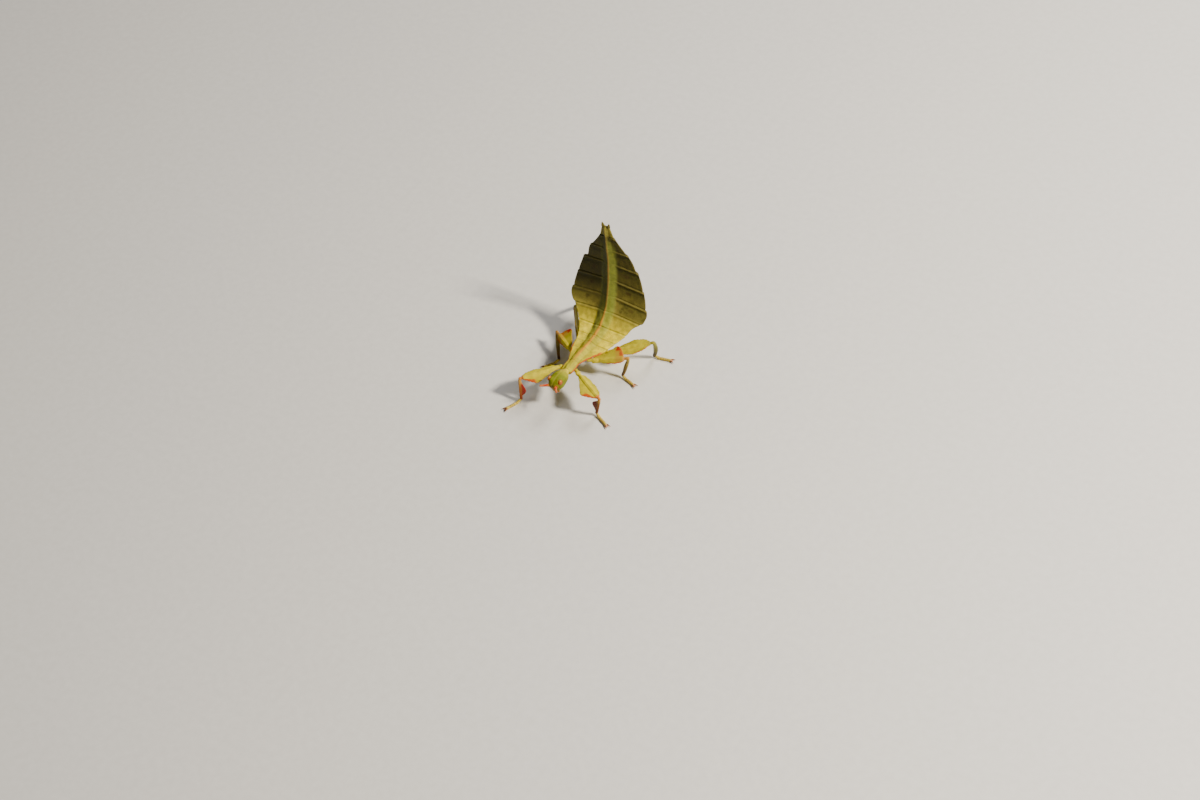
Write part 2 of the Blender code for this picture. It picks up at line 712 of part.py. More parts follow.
def stand_on_origin(collection):
    """Parent every part to one empty and centre the whole on the floor."""
    base = bpy.data.objects.new("stance", None)
    bpy.context.scene.collection.objects.link(base)
    corners = []
    for item in collection.objects:
        corners += [Vector(corner) for corner in item.bound_box]
        item.parent = base
    for axis in (0, 1):
        values = [corner[axis] for corner in corners]
        base.location[axis] = -0.5 * (min(values) + max(values))
    bpy.context.view_layer.update()


def main():
    """Build the whole insect."""
    clear_scene()
    collection = make_collection(OBJECT_NAME)
    cutters = make_collection(OBJECT_NAME + "_cutters")
    materials = {name: make_material(name) for name in COLOURS}
    tip = make_trunk(materials, collection)
    make_cerci(tip, materials, collection)
    head = make_head(materials, collection)
    cut_face(head, materials, cutters)
    make_eyes(materials, collection)
    make_antennae(materials, collection)
    for kind in LEG_KINDS:
        for side, word in ((1.0, "left"), (-1.0, "right")):
            make_leg(kind, side, word, materials, collection)
    stand_on_origin(collection)


main()
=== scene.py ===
import math

import bmesh
import bpy
import numpy as np
from bpy.props import FloatProperty, FloatVectorProperty, IntProperty, PointerProperty
from mathutils import Matrix, Vector


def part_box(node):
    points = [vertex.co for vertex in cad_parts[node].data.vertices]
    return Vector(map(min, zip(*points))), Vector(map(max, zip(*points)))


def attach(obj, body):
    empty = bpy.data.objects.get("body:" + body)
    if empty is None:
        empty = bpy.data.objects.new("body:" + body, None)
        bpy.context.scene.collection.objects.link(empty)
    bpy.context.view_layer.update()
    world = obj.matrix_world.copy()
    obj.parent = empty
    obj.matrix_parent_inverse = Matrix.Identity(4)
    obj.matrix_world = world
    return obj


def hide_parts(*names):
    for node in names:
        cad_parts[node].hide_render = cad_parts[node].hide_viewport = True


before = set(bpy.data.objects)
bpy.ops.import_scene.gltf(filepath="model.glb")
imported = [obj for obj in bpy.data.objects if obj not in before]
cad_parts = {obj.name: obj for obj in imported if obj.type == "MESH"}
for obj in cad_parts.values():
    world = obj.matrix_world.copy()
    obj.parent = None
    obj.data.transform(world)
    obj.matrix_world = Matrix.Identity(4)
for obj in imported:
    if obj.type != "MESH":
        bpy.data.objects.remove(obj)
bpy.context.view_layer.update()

bl_info = {
    "name": "Leaf Insect",
    "version": (1, 0, 0),
    "blender": (4, 5, 0),
    "location": "View3D > Sidebar > Leaf Insect",
    "description": "Dresses the packed leaf insect with one skin, eyes, feelers, claws, grains and a studio",
    "category": "Add Mesh",
}

MM = 0.001

# Everything below is in millimetres in the insect's own frame: X to its left, -Y to its
# head, Z up from the floor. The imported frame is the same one, slid over the floor.
NECK_Y = -3.03
NECK_Z = 5.07
GAP = 0.3
HEAD_NECK_DROP = 0.17
SLIDE = Vector((
    500.0 * (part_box("pronotum")[0].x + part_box("pronotum")[1].x),
    1000.0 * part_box("head")[1].y - (NECK_Y - GAP),
    0.0,
))
SIDES = ((1.0, "left"), (-1.0, "right"))

# Slope of the back in degrees against the distance from the neck.
SLOPE_STATIONS = (
    (0.0, 11.0), (3.0, -3.0), (6.0, -6.5), (8.5, 8.0), (11.0, 40.0),
    (14.0, 67.0), (18.0, 76.0), (23.0, 87.0), (30.0, 87.0),
)
BACK_STEP = 0.02
BACK_START = -1.0
BACK_END = 29.0
# Length, half widths at front, middle and rear, core half width, drop and depth.
PLATES = (
    (2.2, 0.92, 1.02, 0.92, 0.70, 0.26, 1.60),
    (3.0, 0.98, 1.62, 2.20, 0.74, 0.40, 1.80),
    (1.6, 2.22, 2.36, 2.52, 0.95, 0.45, 1.80),
    (1.4, 2.54, 2.74, 3.00, 1.08, 0.46, 1.75),
    (1.75, 3.04, 3.44, 3.94, 1.18, 0.48, 1.70),
    (2.4, 3.98, 4.66, 5.50, 1.32, 0.47, 1.65),
    (2.6, 5.70, 6.62, 6.32, 1.45, 0.44, 1.60),
    (2.75, 6.30, 6.08, 5.66, 1.48, 0.42, 1.55),
    (3.0, 5.62, 5.22, 4.62, 1.42, 0.42, 1.50),
    (2.7, 4.32, 3.84, 3.02, 1.22, 0.40, 1.40),
    (2.6, 2.90, 2.00, 1.24, 0.90, 0.36, 1.25),
    (1.9, 1.16, 0.90, 0.62, 0.44, 0.24, 0.95),
)
PLATE_ENDS = np.concatenate(([0.0], np.cumsum([plate[0] for plate in PLATES])))
THORAX_PLATES = 3
CORNER_SOFTNESS = 0.13
CORNER_STEPS = 20
# Notch where two segments meet: depth, width. The swell before it: height, lead, width.
NOTCH = (0.09, 0.10)
SHOULDER = (0.05, 0.30, 0.18)
LEFT_REACH = 0.55
REACH_SPAN = (3.5, 6.5, 9.5, 13.0)
# Step in the right edge behind the seventh abdominal segment: place, depth and length.
RIGHT_STEP = (20.7, 0.34, 2.2)
# Swell of the skin's right edge along the back, and of its left corner: place, width, height.
RIGHT_SWELL = (
    (9.0, 0.0), (10.2, 0.20), (12.3, 0.36), (14.9, 0.46),
    (17.5, 0.40), (19.5, 0.28), (22.5, 0.26), (25.5, 0.0),
)
LEFT_CORNER = (12.35, 0.70, 0.42)
LOBE_SWEEP = 0.15
LOBE_CUP = -0.12
BEND_SPAN = (9.5, 15.0)
LOBE_THICKNESS = (0.46, 0.24)
RIM_WIDTH = 0.14
TRUNK_STEPS = (11, 15, 5)
TRUNK_START = 0.02
NECK_ROUNDING = 0.25
TIP_ROUNDING = 0.5
# Relief of the trunk. Waves before each plate's end: height, distance ahead and half width.
RIDGE = (0.085, 0.26, 0.15)
HOLLOW = (0.07, 0.72, 0.34)
GROOVE_DEPTH = 0.08
GROOVE_WIDTH = {"thorax": 0.12, "abdomen": 0.075}
# Keel of the midline and the furrow at its front: height and half width.
KEEL = (0.07, 0.13)
FURROW = (0.05, 0.08)
# Folds of the lobes and lumps of the thorax: height, and waves across and along in radians to the mm.
FOLDS = (0.014, 5.0, 1.7)
LUMPS = (0.035, 5.1, 3.7)
BELLY_TOP = 0.5

# Head rings: distance forward of the neck, centre height, half width, half height, nod.
HEAD_RINGS = (
    (-0.45, -0.05, 0.42, 0.40, 0.0),
    (0.00, 0.00, 0.66, 0.58, 0.0),
    (0.40, 0.04, 0.94, 0.80, 2.0),
    (1.10, 0.08, 1.12, 0.99, 6.0),
    (1.90, 0.06, 1.16, 1.10, 12.0),
    (2.60, -0.06, 1.05, 1.12, 18.0),
    (3.05, -0.18, 0.86, 0.98, 22.0),
    (3.32, -0.26, 0.64, 0.76, 24.0),
    (3.46, -0.32, 0.28, 0.40, 25.0),
)
HEAD_SIDES = 64
HEAD_SQUARENESS = 0.80
# Swellings of the head: height, distance forward and its spread, turn from the crown and its spread.
HEAD_LUMPS = (
    (0.06, 1.5, 0.7, 1.15, 0.45),
    (0.07, 2.55, 0.45, 0.50, 0.30),
    (0.05, 2.4, 0.5, 2.1, 0.35),
)
EYE = (0.95, 2.60, 0.78)
EYE_RADIUS = 0.40
EYE_LEVEL = NECK_Z - HEAD_NECK_DROP + EYE[2]
ORBIT_RADIUS = 0.47
ORBIT_WIDTH = 0.09
ORBIT_HEIGHT = 0.10
FEELER_ROOT = (0.46, 3.36, 0.26)
FEELER_LENGTH = 1.65
FEELER_RADIUS = 0.25
FEELER_TIP_RADIUS = 0.16
FEELER_WAY = (1.4, -1.6, 0.7)
FEELER_TIP_OUT = 1.5
SOCKET_RADIUS = 0.36
# Balls of the mouth: out to the side, forward, height, radius, stretch and place in the head's colours.
MOUTH_BALLS = {
    "shield": (0.0, 3.10, -0.62, 0.40, (1.15, 0.62, 0.72), 0.50),
    "upper_lip_a": (0.16, 3.06, -0.94, 0.24, (1.0, 0.7, 0.9), 0.585),
    "upper_lip_b": (-0.16, 3.06, -0.94, 0.24, (1.0, 0.7, 0.9), 0.585),
    "lower_lip": (0.0, 2.78, -1.02, 0.34, (1.1, 0.8, 0.8), 0.585),
}

# Legs: root and hip of the left one, and lengths of femur, tibia and tarsus.
LEG_KINDS = {
    "fore": ((1.38, -2.07, 4.20), (1.70, -2.30, 4.28), 6.4, 4.0, 2.8),
    "mid": ((1.55, 1.67, 3.42), (2.50, 1.99, 3.40), 5.03, 4.4, 2.6),
    "hind": ((1.75, 4.00, 2.98), (2.70, 4.45, 3.04), 7.5, 4.9, 2.8),
}
# Headings of femur, tibia and tarsus, climb of the femur and roll of its blade, in degrees.
STANCE = {
    "fore_right": (-130.0, 2.0, -83.0, -116.0, 0.0),
    "fore_left": (-28.0, 1.0, 172.0, -26.0, 0.0),
    "mid_right": (149.6, -2.8, -57.0, -125.0, -32.0),
    "mid_left": (17.9, 15.3, 194.0, -17.0, 25.0),
    "hind_right": (127.0, 0.8, 76.0, 100.0, 80.0),
    "hind_left": (26.0, 16.6, 133.0, 10.0, 0.0),
}
# Leading and trailing lobe of each thigh: width, place of the widest point, fullness, share at the root.
FEMUR_LOBES = {
    "fore": ((1.40, 0.70, 1.1, 0.08), (0.46, 0.55, 2.2, 0.75)),
    "mid": ((0.25, 0.60, 2.2, 0.50), (1.62, 0.72, 1.6, 0.22)),
    "hind": ((1.10, 0.50, 2.2, 0.12), (0.88, 0.60, 2.6, 0.20)),
}
FEMUR_PHASE = {"fore": 0.0, "mid": 0.3, "hind": 0.6}
FEMUR_START = 0.42
FEMUR_TEETH = 13.0
FEMUR_TOOTH = 0.13
FEMUR_RIPPLE = (0.03, 23.0)
FEMUR_STEPS = (7, 8, 4)
# Core of a thigh at its root, then half widths and half heights from hip to knee, and its blade.
FEMUR_ROOT = 0.27
FEMUR_CORE = (0.26, 0.34)
FEMUR_HEIGHT = (0.36, 0.29)
BLADE_THICKNESS = (0.30, 0.13)
BLADE_MARGIN = 0.06
LOBE_ROOT_SPAN = 0.12
NOTCH_WEB = 1.25
TIBIA_SIDES = 28
TIBIA_TEETH = 11.0
TIBIA_TOOTH = 0.06
TIBIA_RADIUS = {"fore": 0.24, "mid": 0.245, "hind": 0.30}
TIBIA_LOBE = {"fore": 0.75, "mid": 0.16, "hind": 0.16}
TIBIA_BOW = {"fore": 0.0, "mid": 0.15, "hind": 0.35}
COXA_RADIUS = 0.40
KNEE_RADIUS = 0.26
ANKLE_HEIGHT = 0.56
SOLE_HEIGHT = 0.22
PAD_HEIGHT = 0.14
TARSUS_RADIUS = 0.27
TARSOMERE_ENDS = (0.0, 0.36, 0.50, 0.62, 0.72, 1.0)
TARSOMERE_MARKS = (0.0, 0.08, 0.2, 0.35, 0.5, 0.65, 0.8, 0.9, 0.97)
# Pad before the claws: share of the foot's length, half width and half height.
PAD_RINGS = ((1.0, 0.20, 0.17), (1.03, 0.21, 0.14), (1.06, 0.17, 0.11), (1.08, 0.08, 0.06))
CLAW_RADIUS = 0.115
CLAW_TIP_RADIUS = 0.012

# What the pattern maps span: across a piece, along the back and along the head. Then the
# spots of the abdomen: distance from the midline, place along the back, half sizes, strength.
MAP_SPAN = 20.0
BACK_SPAN = 40.0
HEAD_SPAN = 8.0
BACK_SPOTS = ((3.3, 16.3, 0.55, 0.40, 0.55), (2.9, 19.1, 0.50, 0.42, 0.45), (4.0, 13.7, 0.55, 0.32, 0.40))

# Width of a vein as a share of the net's cells, and colours that the panel doesn't offer.
VEIN_WIDTH = 0.07
TAIL = (0.20, 0.172, 0.030)
LOBE_SHADE = (0.020, 0.022, 0.006)
BLOTCH = (0.060, 0.056, 0.012)
BROWN_SPOT = (0.050, 0.026, 0.008)
BROWN_RIM = (0.10, 0.065, 0.02)
# Painted highlight of the segment ridges, and painted shade in their creases.
RIDGE_HIGHLIGHT = (0.42, 0.34, 0.09)
CREASE_SHADE = (0.030, 0.034, 0.008)
COLLAR = (0.56, 0.46, 0.04)
THROAT = (0.30, 0.25, 0.06)
BLUSH = (0.27, 0.090, 0.012)
ORBIT = (0.16, 0.06, 0.010)
CROWN_LINE = (0.40, 0.30, 0.06)
THIGH_VEIN = (0.52, 0.46, 0.11)
THIGH_BLUSH = (0.48, 0.22, 0.04)
HATCHING = (0.50, 0.090, 0.018)
# Painted shadow on the right hind thigh, and painted shade on the left fore shin.
THIGH_PAINTED_SHADOW = (0.030, 0.022, 0.005)
SHIN_PAINTED_SHADE = (0.060, 0.010, 0.004)
FOOT_JOINT = (0.34, 0.15, 0.05)
FOOT_TIP = (0.46, 0.22, 0.12)
# Thighs: where the red rim starts along and across, blush, corner patch, knee colour, painted shadow on the
# right.
THIGH_LOOKS = {
    "fore": (0.64, 0.46, 0.0, 0.0, (0.50, 0.10, 0.03), 0.0),
    "mid": (0.22, 0.60, 0.55, 0.95, (0.46, 0.20, 0.05), 0.0),
    "hind": (0.55, 0.90, 0.0, 0.0, (0.24, 0.20, 0.030), 0.80),
}
# Shins: colours from knee to ankle, colour of the lobe, painted shade on the left.
SHIN_LOOKS = {
    # The fore lobe's dark red is slightly deepened as painted shade.
    "fore": (
        ((0.0, (0.44, 0.26, 0.04)), (0.3, (0.46, 0.20, 0.035)), (0.85, (0.42, 0.10, 0.03)),
         (1.0, (0.24, 0.035, 0.02))), (0.34, 0.030, 0.018), 0.70),
    "mid": (
        ((0.0, (0.34, 0.25, 0.04)), (0.5, (0.22, 0.155, 0.030)), (0.85, (0.13, 0.065, 0.020)),
         (1.0, (0.045, 0.016, 0.010))), (0.22, 0.18, 0.04), 0.0),
    "hind": (
        ((0.0, (0.26, 0.24, 0.04)), (0.55, (0.16, 0.14, 0.025)), (0.84, (0.10, 0.07, 0.018)),
         (1.0, (0.035, 0.012, 0.008))), (0.20, 0.18, 0.035), 0.0),
}
# Finishes of the skin, by the order of its material slots.
BODY, HEAD, FORE_THIGH, MID_THIGH, HIND_THIGH, FORE_SHIN, MID_SHIN, HIND_SHIN, FOOT = range(9)
THIGHS = {"fore": FORE_THIGH, "mid": MID_THIGH, "hind": HIND_THIGH}
SHINS = {"fore": FORE_SHIN, "mid": MID_SHIN, "hind": HIND_SHIN}

# Where the scatters stop: grains along Y and by how far a face looks up, hairs above the floor.
GRAINS_END = 6.5
GRAINS_UPWARD = 0.35
HAIRS_START = 0.12

# Camera, in the insect's frame before the slide: where it stands, and its axes.
VIEW_AZIMUTH = 39.5
VIEW_ELEVATION = 48.0
VIEW_ROLL = 10.0
VIEW_DISTANCE = 300.0
VIEW_FOCUS = Vector((0.0, 0.0, 5.8))
FOCUS_OFFSET = (-3.65, 7.03)
LENS_MM = 59.4
SENSOR_MM = 36.0
CLIP_RANGE = (0.01, 10.0)
# Studio, in metres: each light's place, size, power and colour, where they look, world and floor.
LIGHTS = {
    "key": ((0.32, 0.045, 0.285), 0.05, 3.45, (1.0, 0.93, 0.80)),
    "back": ((0.06, 0.26, 0.30), 0.14, 0.85, (1.0, 0.97, 0.92)),
}
LIT_PLACE = Vector((0.0, 0.0, 0.008))
WORLD_COLOUR = (0.90, 0.91, 0.93, 1.0)
WORLD_STRENGTH = 0.145
FLOOR_HALF = 1.5


def ease(t):
    """Smooth step from 0 to 1, for numbers or arrays."""
    t = np.clip(t, 0.0, 1.0)
    return t * t * (3.0 - 2.0 * t)


def blend(low, high, t):
    """Part of the way from low to high."""
    return low + (high - low) * t


def bump(x, width):
    """Bell curve round 0."""
    return np.exp(-(x / width) ** 2)


def dome(x):
    """Height of a quarter circle at a share of its radius."""
    return np.sqrt(np.maximum(0.0, 1.0 - x ** 2))


def back_slopes(s):
    """Slope of the back in radians at distances from the neck."""
    s = np.asarray(s, dtype=float)
    slope = np.full(s.shape, SLOPE_STATIONS[0][1])
    for (start, low), (end, high) in zip(SLOPE_STATIONS, SLOPE_STATIONS[1:]):
        slope = np.where(s >= start, blend(low, high, ease((s - start) / (end - start))), slope)
    return np.radians(slope)


def back_curve():
    """Distances along the back with their places."""
    s = np.arange(BACK_START, BACK_END, BACK_STEP)
    middle = back_slopes(s + 0.5 * BACK_STEP)
    y = np.concatenate(([0.0], np.cumsum(np.cos(middle))[:-1])) * BACK_STEP
    z = np.concatenate(([0.0], np.cumsum(np.sin(middle))[:-1])) * BACK_STEP
    return s, y - np.interp(0.0, s, y) + NECK_Y, z - np.interp(0.0, s, z) + NECK_Z


BACK_S, BACK_Y, BACK_Z = back_curve()


def on_back(s, x, out, along=0.0):
    """Points at a distance along the back, across it and out of it."""
    slope = back_slopes(s)
    y = np.interp(s, BACK_S, BACK_Y) + along * np.cos(slope) - out * np.sin(slope)
    z = np.interp(s, BACK_S, BACK_Z) + along * np.sin(slope) + out * np.cos(slope)
    return np.stack(np.broadcast_arrays(x, y, z), axis=-1)


def plate_reading(s):
    """The plates' table, the plate at each distance, and the share of the way through it."""
    index = np.clip(np.searchsorted(PLATE_ENDS, s, side="right") - 1, 0, len(PLATES) - 1)
    table = np.array(PLATES)
    return table, index, np.clip((s - PLATE_ENDS[index]) / table[index, 0], 0.0, 1.0)


def width_curve():
    """Half width of the trunk along the back, its corners softened and its segments notched."""
    table, index, t = plate_reading(BACK_S)
    front, middle, rear = table[index, 1:4].T
    width = blend(front, rear, t) + 4.0 * (middle - 0.5 * (front + rear)) * t * (1.0 - t)
    kernel = bump(np.arange(-CORNER_STEPS, CORNER_STEPS + 1) * BACK_STEP, CORNER_SOFTNESS)
    width = np.convolve(np.pad(width, CORNER_STEPS, mode="edge"), kernel / kernel.sum(), mode="valid")
    for end in PLATE_ENDS[THORAX_PLATES:-2]:
        width -= NOTCH[0] * bump(BACK_S - end, NOTCH[1])
        width += SHOULDER[0] * bump(BACK_S - end + SHOULDER[1], SHOULDER[2])
    return width


WIDTH = width_curve()


def trunk_values(s):
    """Half widths right and left, core, drop and depth of the trunk at a distance."""
    table, index, t = plate_reading(s)
    after = np.clip(index + 1, 0, len(PLATES) - 1)
    core, drop, depth = (blend(table[index, k], table[after, k], t) for k in (4, 5, 6))
    width = np.interp(s, BACK_S, WIDTH)
    rise, full, fall, gone = REACH_SPAN
    reach = ease((s - rise) / (full - rise)) - ease((s - fall) / (gone - fall))
    place, deep, long = RIGHT_STEP
    step = ease((s - place + 0.10) / 0.14) * (1.0 - ease((s - place - 0.25) / long))
    swell = np.interp(s, *zip(*RIGHT_SWELL))
    centre, spread, tall = LEFT_CORNER
    left = width + LEFT_REACH * reach + tall * bump(s - centre, spread)
    return width - deep * step + swell, left, core, drop, depth


class Loft:
    """Rings of one closed loft, with the values of its two pattern maps."""

    def __init__(self):
        self.rings, self.places, self.edges = [], [], []

    def add(self, ring, across, along, share, top):
        """One more ring: its points, distance across, place along, share of the lobe, and 1 on top."""
        self.rings.append(ring)
        self.places.append(np.stack((across / MAP_SPAN + 0.5, np.full(len(ring), along)), axis=1))
        self.edges.append(np.stack((share, top), axis=1))

    def mesh(self, name, finish):
        """The closed mesh with its normals outward and one finish."""
        rings = np.array(self.rings)
        count, sides = rings.shape[:2]
        points = np.vstack((rings.reshape(-1, 3), rings[0].mean(axis=0), rings[-1].mean(axis=0)))
        ring = np.arange(sides)
        after = (ring + 1) % sides
        tip, end = count * sides, (count - 1) * sides
        quads = np.concatenate([
            np.stack((a + ring, a + after, a + sides + after, a + sides + ring), axis=1)
            for a in range(0, end, sides)])
        fans = [(tip, int(n), int(m)) for n, m in zip(after, ring)]
        fans += [(tip + 1, int(end + m), int(end + n)) for n, m in zip(after, ring)]
        made = bpy.data.meshes.new(name)
        made.from_pydata((points * MM).tolist(), [], quads.tolist() + fans)
        loops = np.empty(len(made.loops), dtype=np.int32)
        made.loops.foreach_get("vertex_index", loops)
        for map_name, rows in (("Place", self.places), ("Edge", self.edges)):
            flat = np.vstack((*rows, rows[0].mean(axis=0), rows[-1].mean(axis=0)))
            made.uv_layers.new(name=map_name).uv.foreach_set("vector", flat[loops].ravel())
        made.polygons.foreach_set("material_index", np.full(len(made.polygons), finish, dtype=np.int32))
        shape = bmesh.new()
        shape.from_mesh(made)
        bmesh.ops.recalc_face_normals(shape, faces=shape.faces)
        if shape.calc_volume(signed=True) < 0.0:
            bmesh.ops.reverse_faces(shape, faces=shape.faces)
        shape.to_mesh(made)
        shape.free()
        return made


def side_places(width, core, core_steps, lobe_steps, rim_steps):
    """Distances across one side of a cross-section, and each one's nearness to the rim."""
    inner = core * np.linspace(0.0, 1.0, core_steps, endpoint=False)
    rim = np.maximum(np.minimum(RIM_WIDTH, 0.5 * (width - core)), 0.01)
    lobe = core + (width - rim - core) * np.linspace(0.0, 1.0, lobe_steps, endpoint=False)
    edge = width - rim * (1.0 - np.sin(np.linspace(0.0, 0.5 * math.pi, rim_steps)))
    x = np.concatenate((inner, lobe, edge))
    return x, np.clip((x - (width - rim)) / rim, 0.0, 1.0)


def half_loop(sign, x, high, low, *columns):
    """One side of a cross-section, from the midline out over the top and back below."""
    upper = np.stack((sign * x, high, *columns, np.ones_like(x)), axis=1)
    lower = np.stack((sign * x, low, *columns, np.zeros_like(x)), axis=1)
    loop = np.vstack((upper, lower[::-1][1:]))
    return loop if sign > 0.0 else loop[::-1][1:-1]


def trunk_section(s, width, core, drop, depth):
    """Across, top, bottom, sweep and share of one side of the trunk at a distance along the back."""
    x, near = side_places(width, core, *TRUNK_STEPS)
    q = np.clip(x / core, 0.0, 1.0)
    out = np.maximum(0.0, x - core)
    bend = ease((s - BEND_SPAN[0]) / (BEND_SPAN[1] - BEND_SPAN[0]))
    thick = blend(*LOBE_THICKNESS, np.clip(out / max(width - core, 0.01), 0.0, 1.0))
    top = -drop * q ** blend(1.8, 1.15, bend) + LOBE_CUP * bend * out
    # Rounded rim: top and bottom meet in the middle of the lobe.
    half = 0.5 * thick * dome(near)
    middle = top - 0.5 * thick
    ridge, groove, hollow = 0.0, 0.0, 0.0
    for number, end in enumerate(PLATE_ENDS[1:-1], 1):
        if number >= THORAX_PLATES:
            ridge = ridge + bump(s - end + RIDGE[1], RIDGE[2])
            hollow = hollow + bump(s - end + HOLLOW[1], HOLLOW[2])
        groove = groove + bump(s - end, GROOVE_WIDTH["abdomen" if number >= THORAX_PLATES else "thorax"])
    # On the raised abdomen the ridges and hollows keep to the lobes.
    outside = ease((x - 0.72 * core) / (0.4 * core))
    ridge = ridge * blend(0.55, outside, bend)
    hollow = hollow * outside * bend
    flat = 1.0 - near
    keel = KEEL[0] * bump(x, KEEL[1]) * ease((s - 4.4) / 1.5)
    keel = keel - FURROW[0] * bump(x, FURROW[1]) * (1.0 - ease((s - 2.0) / 1.0))
    grooved = GROOVE_DEPTH * groove * blend(1.0, 0.45 + 0.55 * outside, bend)
    lift = (RIDGE[0] * ridge - grooved - HOLLOW[0] * hollow) * flat + keel
    # Faint folds cross each lobe, and the thorax is lumpy beside its midline.
    lift = lift + FOLDS[0] * np.sin(FOLDS[1] * out + FOLDS[2] * s) * flat * bend
    lift = lift + LUMPS[0] * np.sin(LUMPS[1] * x + 0.9) * math.sin(LUMPS[2] * s) * flat * (1.0 - bend)
    belly = np.maximum(depth - drop - BELLY_TOP, 0.0) * (1.0 - q ** 2) ** 0.7
    low = middle - half - belly * (1.0 - 0.07 * groove) - 0.05 * ridge * flat
    return x, middle + half + lift, low, -LOBE_SWEEP * bend * out, np.clip(x / width, 0.0, 1.0)


def trunk_mesh():
    """The trunk from the neck to the tip of the abdomen as one closed loft."""
    stations, last = [TRUNK_START], PLATE_ENDS[-1]
    # The stations stand closer where a ridge and a groove cross the plate's end.
    for start, end in zip(PLATE_ENDS, PLATE_ENDS[1:]):
        stations.extend(np.linspace(start + 0.16, end - 0.62, max(4, int((end - start) * 5))))
        stations.extend(np.linspace(end - 0.55, end - 0.05, 9))
        stations.extend((end, end + 0.06, end + 0.11))
    stations = np.array(sorted(set(np.round(stations, 4))))
    loft = Loft()
    for s in stations[(stations >= TRUNK_START) & (stations <= last)]:
        right, left, *inner = (float(v) for v in trunk_values(s))
        closing = 1.0
        if s > last - TIP_ROUNDING:
            closing = math.sqrt(max(0.05, 1.0 - ((s - last + TIP_ROUNDING) / TIP_ROUNDING) ** 2))
        if s < NECK_ROUNDING:
            closing = blend(0.80, 1.0, ease(s / NECK_ROUNDING))
        loop = []
        for sign, width in ((1.0, left), (-1.0, right)):
            x, high, low, sweep, share = trunk_section(s, width, *inner)
            middle = high[0] - 0.5 * (high[0] - low[0])
            high, low = (middle + (edge - middle) * closing for edge in (high, low))
            loop.append(half_loop(sign, x * closing, high, low, sweep, share))
        across, out, sweep, share, top = np.vstack(loop).T
        loft.add(on_back(np.full(len(out), s), across, out, sweep), across, s / BACK_SPAN, share, top)
    return loft.mesh("trunk", BODY)


def head_point(side, place):
    """A point on one side of the head, from its distances out, forward and up from the neck."""
    out, forward, height = place
    return np.array((side * out, NECK_Y - GAP - forward, NECK_Z - HEAD_NECK_DROP + height))


def ring_turns(sides):
    """Angles of a ring's points."""
    return 2.0 * math.pi * (np.arange(sides) + 0.5) / sides


def head_mesh():
    """The head capsule: brow, temples, the groove of the crown, cheeks and face."""
    table = np.array(HEAD_RINGS)
    face, depth = 3.0, 0.46
    rounding = np.sin(np.linspace(0.04, 0.5 * math.pi, 14))
    forward = np.concatenate((np.linspace(HEAD_RINGS[0][0], face, 40), face + depth * rounding))
    turn = ring_turns(HEAD_SIDES)
    folded = np.minimum(turn, 2.0 * math.pi - turn)
    loft = Loft()
    for f in forward:
        height, wide, tall, nod = (smooth_read(table[:, 0], table[:, k], f) for k in (1, 2, 3, 4))
        nod = math.radians(nod)
        square = blend(1.0, HEAD_SQUARENESS, float(ease((f - 0.2) / 0.8)))
        x = wide * np.sign(np.sin(turn)) * np.abs(np.sin(turn)) ** square
        z = tall * np.sign(np.cos(turn)) * np.abs(np.cos(turn)) ** square
        crown = -0.05 * bump(x, 0.07) * (z > 0) * ease((f - 0.3) / 0.4) * (1.0 - ease((f - 2.9) / 0.3))
        # Temples behind the eyes, brows, cheeks, and a narrower neck.
        swell = 1.0
        for rise, place, spread, centre, width in HEAD_LUMPS:
            swell = swell + rise * bump(f - place, spread) * bump(folded - centre, width)
        swell = swell - 0.06 * bump(f - 0.16, 0.12)
        x = x * swell
        z = z * swell + crown
        middle = head_point(1.0, (0.0, f, height))
        ring = np.stack((x, middle[1] - z * math.sin(nod), middle[2] + z * math.cos(nod)), axis=1)
        outward = (ring - middle) / np.maximum(np.linalg.norm(ring - middle, axis=1, keepdims=True), 0.01)
        for side in (-1.0, 1.0):
            for place, radius, rise in (
                    (EYE, ORBIT_RADIUS, ORBIT_HEIGHT), (FEELER_ROOT, SOCKET_RADIUS, 0.7 * ORBIT_HEIGHT)):
                gap = np.linalg.norm(ring - head_point(side, place), axis=1)
                ring = ring + outward * (rise * bump(gap - radius, ORBIT_WIDTH))[:, None]
        loft.add(ring, x, (f + 1.0) / HEAD_SPAN, turn / (2.0 * math.pi), 0.5 + 0.5 * np.cos(turn))
    return loft.mesh("head", HEAD)


def smooth_read(xs, ys, x):
    """Value on a smooth curve through points, at one place."""
    slopes = np.gradient(ys, xs)
    i = int(np.clip(np.searchsorted(xs, x) - 1, 0, len(xs) - 2))
    h = xs[i + 1] - xs[i]
    t = min(max((x - xs[i]) / h, 0.0), 1.0)
    return ((2 * t ** 3 - 3 * t ** 2 + 1) * ys[i] + (t ** 3 - 2 * t ** 2 + t) * h * slopes[i]
            + (-2 * t ** 3 + 3 * t ** 2) * ys[i + 1] + (t ** 3 - t ** 2) * h * slopes[i + 1])


def heading_vector(heading, climb=0.0):
    """Unit vector from a heading and a climb in degrees."""
    flat = math.cos(math.radians(climb))
    return Vector((flat * math.cos(math.radians(heading)), flat * math.sin(math.radians(heading)),
                   math.sin(math.radians(climb))))


def limb_axes(direction, roll=0.0):
    """Rotation with Y along a limb, X level to its side and Z upward, rolled about Y."""
    across = direction.cross(Vector((0.0, 0.0, 1.0))).normalized()
    upward = across.cross(direction)
    return Matrix((across, direction, upward)).transposed() @ Matrix.Rotation(math.radians(roll), 3, "Y")


